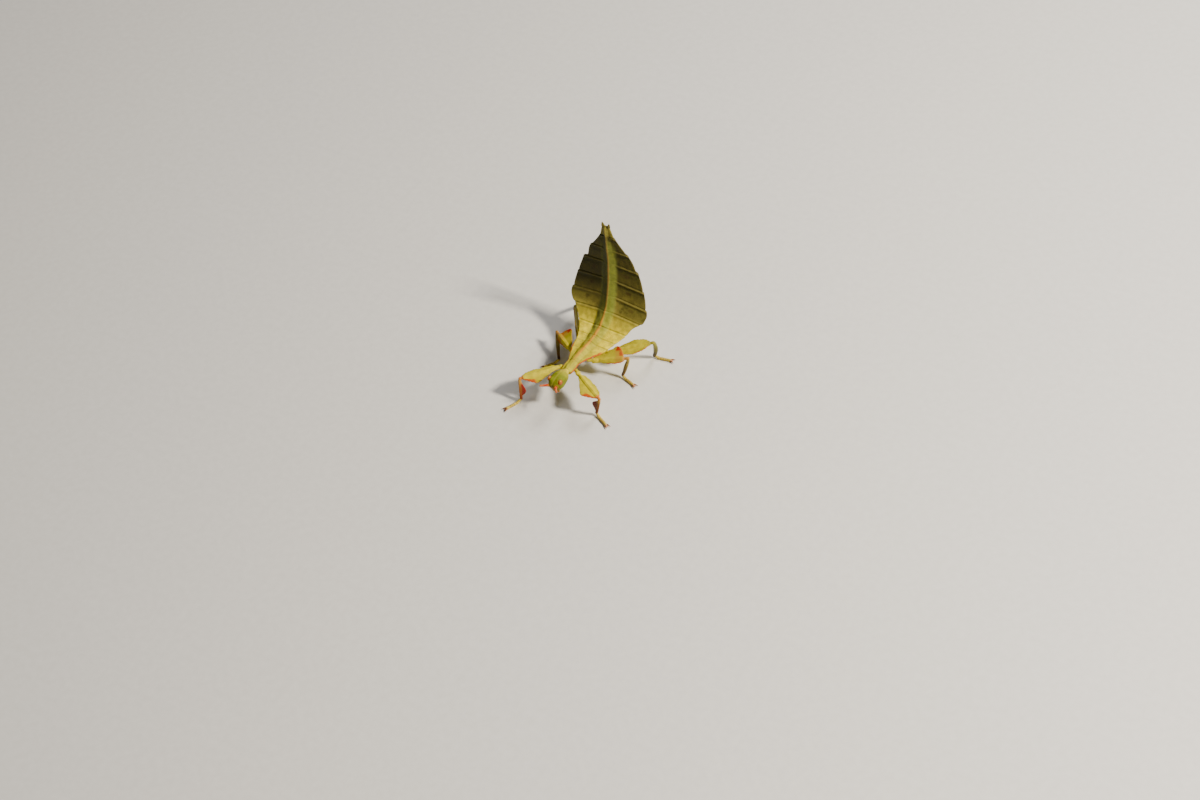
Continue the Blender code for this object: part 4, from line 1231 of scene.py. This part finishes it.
def head_material(colours):
    """Green head, paler at the collar, with pink mouth parts."""
    paint = Paint("insect_head", 0.12)
    across, along, _, top = paint.maps()
    green = tuple(colours.head)
    paint.colour = paint.ramp(along, (
        (0.0, COLLAR), (0.14, COLLAR), (0.19, between(green, COLLAR, 0.45)), (0.30, green), (0.44, green),
        (0.50, times(green, 0.72)), (0.535, times(green, 0.66)),
        (0.56, between(green, (0.42, 0.12, 0.05), 0.5)), (0.60, (0.30, 0.12, 0.04)),
        (0.70, (0.46, 0.13, 0.06)), (1.0, (0.48, 0.14, 0.08))))
    paint.vary(0.78, 1.14)
    paint.add(top.fade(0.10, 0.45) * 0.35, THROAT)
    # Orange blush round the roots of the feelers, and a thin dark line round the eyes.
    out, forward, height = FEELER_ROOT
    blush = paint.near_pair((out, forward - 0.1, height), 0.30, 0.62)
    paint.add(blush * paint.tone.line(0.5, 0.35), BLUSH)
    paint.add(paint.near_pair(EYE, 0.38, 0.56) * 0.6, ORBIT)
    crown = paint.band(across, 0.05, 0.10) * top.soft(0.5, 0.8)
    paint.add(crown * 0.35, CROWN_LINE)
    return paint.finish(paint.lumps, (0.16, 0.42), 0.5)


def thigh_material(kind, colours):
    """Lime thigh with red toothed rims, a red patch at its corner and its own knee."""
    rim_start, rim_inner, blush, patch, knee_colour, painted_shade = THIGH_LOOKS[kind]
    paint = Paint("insect_%s_thigh" % kind, 0.16)
    tone = paint.tone
    across, along, share, _ = paint.maps()
    trailing = -across
    lime, red = tuple(colours.leg), tuple(colours.red)
    paint.colour = paint.ramp(share, ((0.0, times(lime, 1.10)), (0.35, lime), (1.0, times(lime, 0.80))))
    paint.vary(0.80, 1.14)
    veins = paint.veins(2300.0)
    paint.add(veins * 0.10, THIGH_VEIN)
    ragged = tone.line(0.10, along)
    paint.add(ragged.soft(0.60, 0.74) * blush, THIGH_BLUSH)
    # Red patch at the corner of the trailing lobe, and orange-red hatching along its far edge.
    corner = paint.band(ragged - 0.80, 0.06, 0.05) * trailing.soft(1.15, 1.50)
    paint.add(corner * patch, red)
    hatch = ragged.soft(0.82, 0.89) * trailing.soft(0.30, 0.55) * tone.line(0.7, 0.35)
    paint.add(hatch * patch, HATCHING)
    rim = tone.line(0.14, share).soft(rim_inner, rim_inner + 0.16) * along.soft(rim_start, rim_start + 0.10)
    rim = (rim * across.soft(0.0, 0.3)).larger(share.soft(0.90, 1.0) * 0.45)
    paint.add(rim * 0.85, red)
    paint.add(along.soft(0.95, 1.0) * 0.8, knee_colour)
    # Painted shadow of the raised abdomen on the thigh of the insect's right side.
    if painted_shade:
        paint.add((-paint.place()[0]).soft(0.0, 1.0) * along.soft(-0.1, 0.55) * painted_shade, THIGH_PAINTED_SHADOW)
    return paint.finish(paint.lumps * 0.6 + veins * 0.25, (0.16, 0.48), 0.45)


def tibia_material(kind):
    """Shin that darkens towards the foot, with its lobe's own colour."""
    stops, lobe_colour, painted_shade = SHIN_LOOKS[kind]
    paint = Paint("insect_%s_shin" % kind, 0.08)
    _, along, lobe, _ = paint.maps()
    paint.colour = paint.ramp(along, stops)
    paint.vary(0.75, 1.15)
    paint.add(paint.tone.line(0.2, lobe).soft(0.25, 0.65), lobe_colour)
    # Painted shade over the shin on the insect's left side.
    if painted_shade:
        paint.add(paint.place()[0].soft(0.0, 1.0) * along.soft(0.0, 0.4) * painted_shade, SHIN_PAINTED_SHADE)
    return paint.finish(paint.lumps, (0.18, 0.32), 0.5)


def foot_material(colours):
    """Pale yellow foot with pinkish joints and tip."""
    paint = Paint("insect_foot", 0.12)
    pale = tuple(colours.foot)
    joint = between(pale, FOOT_JOINT, 0.55)
    stops = [(0.0, joint), (0.05, pale)]
    for end in TARSOMERE_ENDS[1:-1]:
        stops += [(end - 0.04, pale), (end, joint), (end + 0.025, pale)]
    stops += [(0.9, pale), (1.0, FOOT_TIP)]
    paint.colour = paint.ramp(paint.maps()[1], stops)
    paint.vary(0.82, 1.12)
    return paint.finish(paint.lumps, (0.16, 0.34), 0.4)


def eye_material():
    """Orange-pink eye with fine facets and soft streaks."""
    paint = Paint("insect_eye", 0.10)
    spread = node(paint.tree, "ShaderNodeMapping", {"Vector": paint.spot, "Scale": (900.0, 900.0, 3600.0)})
    streaks = paint.texture("ShaderNodeTexNoise", 0, {
        "Vector": spread.outputs[0], "Scale": 1.0, "Detail": 3.0})
    # The eye is darker red below and lighter orange towards its top: painted light from above, broken by the
    # streaks.
    level = (paint.place()[2] + streaks.line(0.60, -0.30)).soft(EYE_LEVEL - 0.30, EYE_LEVEL + 0.50)
    paint.colour = paint.ramp(level, (
        (0.0, (0.22, 0.022, 0.005)), (0.40, (0.34, 0.040, 0.007)), (0.62, (0.38, 0.080, 0.010)),
        (0.80, (0.39, 0.125, 0.015)), (1.0, (0.41, 0.160, 0.024))))
    facets = paint.texture("ShaderNodeTexVoronoi", "Distance", {"Scale": 24000.0}, feature="DISTANCE_TO_EDGE")
    paint.set_shader({"Coat Weight": 0.5, "Coat Roughness": 0.12})
    return paint.finish(facets.soft(0.0, 0.25), (0.10, 0.18), 0.35, 0.00001)


def feeler_material(colours):
    """Pink feeler, deeper at its joints."""
    paint = Paint("insect_feeler", 0.12)
    root, pale, pink = FEELER_ROOT[0], (0.56, 0.15, 0.045), tuple(colours.feeler)
    far = (abs(paint.place()[0]) - root) / (FEELER_TIP_OUT - root)
    paint.colour = paint.ramp(far, (
        (0.0, (0.56, 0.20, 0.02)), (0.16, (0.54, 0.17, 0.02)), (0.24, pink), (0.46, pink),
        (0.58, pale), (1.0, pale)))
    paint.vary(0.80, 1.15)
    return paint.finish(paint.lumps, (0.16, 0.34), 0.4)


def horn_material(name, first, second, scale, roughness=0.24):
    """Hard horn of the claws, hairs and grains, mottled between two colours."""
    paint = Paint(name, 0.05)
    streaks = paint.texture("ShaderNodeTexNoise", 0, {"Scale": scale, "Detail": 3.0})
    paint.colour = paint.ramp(streaks, ((0.35, first), (0.65, second)))
    return paint.finish(paint.lumps, (0.14, roughness), 0.25)


def floor_material():
    """Plain pale floor with a very faint tooth."""
    material = bpy.data.materials.new("pale_floor")
    material.use_nodes = True
    tree = material.node_tree
    spot = node(tree, "ShaderNodeTexCoord").outputs["Object"]
    noise = node(tree, "ShaderNodeTexNoise", {"Vector": spot, "Scale": 900.0, "Detail": 4.0})
    tooth = Value(tree, noise.outputs[0])
    colour = colour_curve(tree, tooth, ((0.3, (0.70, 0.68, 0.65)), (0.7, (0.74, 0.72, 0.69))))
    link_surface(tree, tree.nodes["Principled BSDF"], colour, tooth, tooth.line(0.1, 0.6), 0.05, 0.00005)
    return material


# Geometry node trees.

def put_out(tree, given, wanted, inputs):
    """Instance pieces on points, realize them, give them their material and put them out."""
    placed = node(tree, "GeometryNodeInstanceOnPoints", inputs)
    real = node(tree, "GeometryNodeRealizeInstances", {0: placed.outputs[0]})
    painted = node(tree, "GeometryNodeSetMaterial", {0: real.outputs[0], "Material": given["Material"]})
    shaded = node(tree, "GeometryNodeSetShadeSmooth", {0: painted.outputs[0]})
    tree.links.new(shaded.outputs[0], wanted[0])


def geometry_tree(name, inputs):
    """A geometry tree with its sockets, the material last."""
    given = (("Geometry", "Geometry"), *inputs, ("Material", "Material"))
    return new_tree(name, "Geometry", given, (("Geometry", "Geometry"),))


def random_value(tree, given, low, high):
    """The output sockets of a random value; low and high are its inputs and their values."""
    kind = "FLOAT_VECTOR" if isinstance(low[1], tuple) else "FLOAT"
    return node(tree, "FunctionNodeRandomValue", {low[0]: low[1], high[0]: high[1], "Seed": given["Seed"]},
                data_type=kind).outputs


def scattered_points(tree, given):
    """Points strewn over the skin that the tree is given."""
    return node(tree, "GeometryNodeDistributePointsOnFaces", {
        "Mesh": given["Geometry"], "Density": given["Density"], "Seed": given["Seed"]}).outputs


def grains_tree():
    """Small round grains scattered over a patch of skin and sunk in by half."""
    tree, given, wanted = geometry_tree("Scatter Grains", (
        ("Density", "Float", 1.0e6), ("Smallest", "Float", 0.00003), ("Largest", "Float", 0.00007),
        ("Seed", "Int", 1)))
    points = scattered_points(tree, given)
    bead = node(tree, "GeometryNodeMeshIcoSphere", {"Radius": 1.0, "Subdivisions": 2})
    size = random_value(tree, given, (2, given["Smallest"]), (3, given["Largest"]))
    put_out(tree, given, wanted, {
        "Points": points["Points"], "Instance": bead.outputs["Mesh"], "Rotation": points["Rotation"],
        "Scale": size[1]})


def hairs_tree():
    """Short stiff hairs that stand out of the skin, leaning a little."""
    tree, given, wanted = geometry_tree("Scatter Hairs", (
        ("Density", "Float", 1.0e6), ("Length", "Float", 0.00025), ("Thickness", "Float", 0.000012),
        ("Seed", "Int", 1)))
    points = scattered_points(tree, given)
    spike = node(tree, "GeometryNodeMeshCone", {
        "Vertices": 5, "Radius Top": 0.0, "Radius Bottom": given["Thickness"], "Depth": given["Length"]})
    lean = random_value(tree, given, (0, (-0.5, -0.5, -3.1)), (1, (0.5, 0.5, 3.1)))
    turned = node(tree, "FunctionNodeRotateRotation", {
        "Rotation": points["Rotation"], "Rotate By": lean[0]}, rotation_space="LOCAL")
    size = random_value(tree, given, (2, 0.6), (3, 1.1))
    put_out(tree, given, wanted, {
        "Points": points["Points"], "Instance": spike.outputs["Mesh"], "Rotation": turned.outputs[0],
        "Scale": size[1]})


def beads_tree():
    """A row of beads that narrow from the first to the last, along Z."""
    tree, given, wanted = geometry_tree("Bead Row", (
        ("Count", "Int", 9), ("Length", "Float", 0.001), ("First Radius", "Float", 0.0002),
        ("Last Radius", "Float", 0.0001)))
    count = Value(tree, given["Count"])
    step = Value(tree, given["Length"]) / count
    first, offset = (node(tree, "ShaderNodeCombineXYZ", {2: z}).outputs[0] for z in (step * 0.5, step))
    line = node(tree, "GeometryNodeMeshLine", {
        "Count": count, "Start Location": first, "Offset": offset}, mode="OFFSET")
    bead = node(tree, "GeometryNodeMeshUVSphere", {"Segments": 18, "Rings": 12, "Radius": 1.0})
    place = Value(tree, node(tree, "GeometryNodeInputIndex").outputs[0]) / (count - 1.0)
    radius = node(tree, "ShaderNodeMapRange", {
        0: place, 1: 0.0, 2: 1.0, 3: given["First Radius"], 4: given["Last Radius"]}).outputs[0]
    size = node(tree, "ShaderNodeCombineXYZ", {0: radius, 1: radius, 2: step * 0.64})
    put_out(tree, given, wanted, {
        "Points": line.outputs[0], "Instance": bead.outputs["Mesh"], "Scale": size.outputs[0]})


def grow_with(tree_name, source, values):
    """Run a geometry tree on a mesh and return the plain mesh that it makes."""
    carrier = link_object("carrier", source)
    step = carrier.modifiers.new("grow", "NODES")
    step.node_group = bpy.data.node_groups[tree_name]
    for item in step.node_group.interface.items_tree:
        if item.in_out == "INPUT" and item.name in values:
            step[item.identifier] = values[item.name]
    made = evaluated_mesh(carrier)
    bpy.data.objects.remove(carrier, do_unlink=True)
    if not made.polygons:
        raise RuntimeError(tree_name + " made nothing")
    return made


def tint(name, description, default):
    """A colour that the panel offers."""
    return FloatVectorProperty(
        name=name, description=description, default=default, subtype="COLOR", min=0.0, max=1.0)


class LeafInsectColours(bpy.types.PropertyGroup):
    """Colours of the insect."""
    lime: tint("Thorax", "Lime green of the thorax", (0.580, 0.470, 0.020))
    olive: tint("Abdomen", "Green of the middle of the abdomen", (0.285, 0.238, 0.045))
    # The raised abdomen's deep green is partly painted shade.
    deep: tint("Raised Abdomen", "Deep green of the raised abdomen", (0.070, 0.060, 0.013))
    stripe: tint("Stripe", "Green beside the midline", (0.235, 0.265, 0.042))
    midline_front: tint("Front Midline", "Midline on the thorax", (0.66, 0.28, 0.030))
    midline_rear: tint("Rear Midline", "Midline on the abdomen", (0.34, 0.16, 0.045))
    head: tint("Head", "Green of the head", (0.172, 0.192, 0.010))
    leg: tint("Thighs", "Lime green of the thighs", (0.515, 0.430, 0.015))
    red: tint("Rims", "Red of the rims", (0.46, 0.022, 0.006))
    foot: tint("Feet", "Pale yellow of the feet", (0.56, 0.42, 0.07))
    feeler: tint("Feelers", "Pink of the feelers", (0.50, 0.050, 0.020))


class LeafInsectSizes(bpy.types.PropertyGroup):
    """Sizes of the small parts and amounts of grain and hair."""
    feeler_beads: IntProperty(name="Feeler Segments", description="Segments of each feeler",
                              default=9, min=3, max=20)
    grain_density: FloatProperty(name="Grains", description="Grains to the square metre of skin",
                                 default=2.6e6, min=0.0)
    grain_size: FloatProperty(name="Grain Size", description="Radius of the largest grain", default=0.00005,
                              min=0.0, subtype="DISTANCE", unit="LENGTH")
    hair_density: FloatProperty(name="Hairs", description="Hairs to the square metre of the lower legs",
                                default=5.0e6, min=0.0)
    hair_length: FloatProperty(name="Hair Length", description="Length of a hair", default=0.00022,
                               min=0.0, subtype="DISTANCE", unit="LENGTH")
    seed: IntProperty(name="Seed", description="Seed of every scatter", default=7)


class LEAFINSECT_OT_patterns(bpy.types.Operator):
    """Build the shared node groups and geometry trees"""
    bl_idname = "leaf_insect.patterns"
    bl_label = "Patterns"

    def execute(self, context):
        for build in (grain_group, vein_group, band_group, grains_tree, hairs_tree, beads_tree):
            build()
        return {"FINISHED"}


class LEAFINSECT_OT_skin(bpy.types.Operator):
    """Grow the one skin over trunk, head and legs"""
    bl_idname = "leaf_insect.skin"
    bl_label = "Skin"

    def execute(self, context):
        colours = context.scene.leaf_insect_colours
        materials = [body_material(colours), head_material(colours)]
        materials += [thigh_material(kind, colours) for kind in LEG_KINDS]
        materials += [tibia_material(kind) for kind in LEG_KINDS]
        materials.append(foot_material(colours))
        meshes = [trunk_mesh(), head_mesh()] + mouth_meshes() + tail_meshes()
        for kind in LEG_KINDS:
            for side, word in SIDES:
                meshes += leg_meshes(kind, side, word)
        mesh = join_skins(meshes, "insect_skin", materials)
        settle(mesh)
        flesh = [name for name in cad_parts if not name.startswith(("eye", "antenna"))]
        new_piece("insect_skin", mesh, flesh)
        return {"FINISHED"}


class LEAFINSECT_OT_eyes(bpy.types.Operator):
    """Set two faceted eyes in the head"""
    bl_idname = "leaf_insect.eyes"
    bl_label = "Eyes"

    def execute(self, context):
        material = eye_material()
        for side, word in SIDES:
            mesh = ball_mesh("eye", head_point(side, EYE), EYE_RADIUS, 0, (0.78, 1.0, 1.05), sides=40)
            mesh.materials.append(material)
            settle(mesh)
            new_piece("insect_eye_" + word, mesh, ["eye_" + word])
        return {"FINISHED"}


class LEAFINSECT_OT_feelers(bpy.types.Operator):
    """String the beads of both feelers"""
    bl_idname = "leaf_insect.feelers"
    bl_label = "Feelers"

    def execute(self, context):
        material = feeler_material(context.scene.leaf_insect_colours)
        for side, word in SIDES:
            beads = grow_with("Bead Row", bpy.data.meshes.new("empty"), {
                "Count": context.scene.leaf_insect_sizes.feeler_beads, "Length": FEELER_LENGTH * MM,
                "First Radius": FEELER_RADIUS * MM, "Last Radius": FEELER_TIP_RADIUS * MM,
                "Material": material})
            way = Vector((side * FEELER_WAY[0], FEELER_WAY[1], FEELER_WAY[2])).normalized()
            root = Vector(head_point(side, FEELER_ROOT))
            turn = way.to_track_quat("Z", "Y").to_matrix().to_4x4()
            beads.transform(Matrix.Translation(root * MM) @ turn)
            settle(beads)
            new_piece("insect_feeler_" + word, beads, ["antenna_" + word])
        return {"FINISHED"}


class LEAFINSECT_OT_claws(bpy.types.Operator):
    """Put two curved claws on every foot"""
    bl_idname = "leaf_insect.claws"
    bl_label = "Claws"

    def execute(self, context):
        material = horn_material("insect_claw", (0.10, 0.035, 0.012), (0.34, 0.14, 0.05), 2500.0)
        for kind in LEG_KINDS:
            for side, word in SIDES:
                *_, ankle, toe = leg_joints(kind, word, side)
                axes = limb_axes(Vector((toe.x - ankle.x, toe.y - ankle.y, 0.0)).normalized())
                mesh = join_plain([claw_mesh(axes, toe, sign) for sign in (-1.0, 1.0)])
                mesh.materials.append(material)
                settle(mesh)
                new_piece("insect_claws_%s_%s" % (kind, word), mesh)
        return {"FINISHED"}


class LEAFINSECT_OT_grains(bpy.types.Operator):
    """Scatter pale grains over the head and thorax"""
    bl_idname = "leaf_insect.grains"
    bl_label = "Grains"

    def execute(self, context):
        sizes = context.scene.leaf_insect_sizes
        limit = (SLIDE.y + GRAINS_END) * MM
        patch = patch_of(bpy.data.objects["insect_skin"].data, lambda face: (
            face.material_index in (BODY, HEAD) and face.normal.z > GRAINS_UPWARD
            and face.calc_center_median().y < limit))
        material = horn_material("insect_grain", (0.26, 0.23, 0.02), (0.38, 0.32, 0.035), 3000.0, 0.55)
        mesh = grow_with("Scatter Grains", patch, {
            "Density": sizes.grain_density, "Smallest": sizes.grain_size * 0.45, "Largest": sizes.grain_size,
            "Seed": sizes.seed, "Material": material})
        new_piece("insect_grains", mesh)
        return {"FINISHED"}


class LEAFINSECT_OT_hairs(bpy.types.Operator):
    """Scatter short hairs over the shins and feet"""
    bl_idname = "leaf_insect.hairs"
    bl_label = "Hairs"

    def execute(self, context):
        sizes = context.scene.leaf_insect_sizes
        patch = patch_of(bpy.data.objects["insect_skin"].data, lambda face: (
            face.material_index >= FORE_SHIN and face.calc_center_median().z > HAIRS_START * MM))
        material = horn_material("insect_hair", (0.30, 0.20, 0.07), (0.46, 0.34, 0.14), 3000.0)
        mesh = grow_with("Scatter Hairs", patch, {
            "Density": sizes.hair_density, "Length": sizes.hair_length, "Seed": sizes.seed,
            "Material": material})
        new_piece("insect_hairs", mesh)
        return {"FINISHED"}


class LEAFINSECT_OT_stage(bpy.types.Operator):
    """Lay the floor, hang the lights, light the world and stand the camera"""
    bl_idname = "leaf_insect.stage"
    bl_label = "Stage"

    def execute(self, context):
        shape = bmesh.new()
        bmesh.ops.create_grid(shape, x_segments=2, y_segments=2, size=FLOOR_HALF)
        mesh = plain_mesh(shape, "floor")
        mesh.materials.append(floor_material())
        link_object("floor", mesh)
        for name, (place, size, power, colour) in LIGHTS.items():
            data = bpy.data.lights.new(name, "AREA")
            data.size = size
            data.energy = power
            data.color = colour
            item = link_object(name, data)
            item.location = place
            item.rotation_euler = (LIT_PLACE - Vector(place)).to_track_quat("-Z", "Y").to_euler()
        world = bpy.data.worlds.new("studio")
        world.use_nodes = True
        sky = world.node_tree.nodes["Background"].inputs
        sky[0].default_value = WORLD_COLOUR
        sky[1].default_value = WORLD_STRENGTH
        context.scene.world = world
        azimuth, elevation, roll = (math.radians(v) for v in (VIEW_AZIMUTH, VIEW_ELEVATION, VIEW_ROLL))
        back = Vector((math.sin(azimuth) * math.cos(elevation), -math.cos(azimuth) * math.cos(elevation),
                       math.sin(elevation)))
        level = Vector((math.cos(azimuth), math.sin(azimuth), 0.0))
        upright = back.cross(level)
        right = math.cos(roll) * level - math.sin(roll) * upright
        up = math.sin(roll) * level + math.cos(roll) * upright
        place = VIEW_FOCUS + back * VIEW_DISTANCE - right * FOCUS_OFFSET[0] - up * FOCUS_OFFSET[1] + SLIDE
        data = bpy.data.cameras.new("photo_camera")
        data.lens = LENS_MM
        data.sensor_width = SENSOR_MM
        data.clip_start, data.clip_end = CLIP_RANGE
        camera = link_object("photo_camera", data)
        turn = Matrix((right, up, back)).transposed().to_4x4()
        camera.matrix_world = Matrix.Translation(place * MM) @ turn
        bpy.context.scene.camera = camera
        return {"FINISHED"}


class LEAFINSECT_PT_panel(bpy.types.Panel):
    """Lists the insect's pieces in the sidebar"""
    bl_idname = "LEAFINSECT_PT_panel"
    bl_label = "Leaf Insect"
    bl_space_type = "VIEW_3D"
    bl_region_type = "UI"
    bl_category = "Leaf Insect"

    def draw(self, context):
        for step in STEPS:
            self.layout.operator(step)
        for settings in (context.scene.leaf_insect_colours, context.scene.leaf_insect_sizes):
            box = self.layout.box()
            for name in settings.__annotations__:
                box.prop(settings, name)


STEPS = (
    "leaf_insect.patterns", "leaf_insect.skin", "leaf_insect.eyes", "leaf_insect.feelers",
    "leaf_insect.claws", "leaf_insect.grains", "leaf_insect.hairs", "leaf_insect.stage",
)
CLASSES = (
    LeafInsectColours, LeafInsectSizes, LEAFINSECT_OT_patterns, LEAFINSECT_OT_skin, LEAFINSECT_OT_eyes,
    LEAFINSECT_OT_feelers, LEAFINSECT_OT_claws, LEAFINSECT_OT_grains, LEAFINSECT_OT_hairs,
    LEAFINSECT_OT_stage, LEAFINSECT_PT_panel,
)


def register():
    """Register the classes and the scene's settings."""
    for item in CLASSES:
        bpy.utils.register_class(item)
    bpy.types.Scene.leaf_insect_colours = PointerProperty(type=LeafInsectColours)
    bpy.types.Scene.leaf_insect_sizes = PointerProperty(type=LeafInsectSizes)


def unregister():
    """Take the settings and the classes away again."""
    del bpy.types.Scene.leaf_insect_sizes
    del bpy.types.Scene.leaf_insect_colours
    for item in reversed(CLASSES):
        bpy.utils.unregister_class(item)


def main():
    """Make every piece in order."""
    register()
    bpy.ops.leaf_insect.patterns()
    bpy.ops.leaf_insect.skin()
    bpy.ops.leaf_insect.eyes()
    bpy.ops.leaf_insect.feelers()
    bpy.ops.leaf_insect.claws()
    bpy.ops.leaf_insect.grains()
    bpy.ops.leaf_insect.hairs()
    bpy.ops.leaf_insect.stage()


if __name__ == "__main__":
    main()
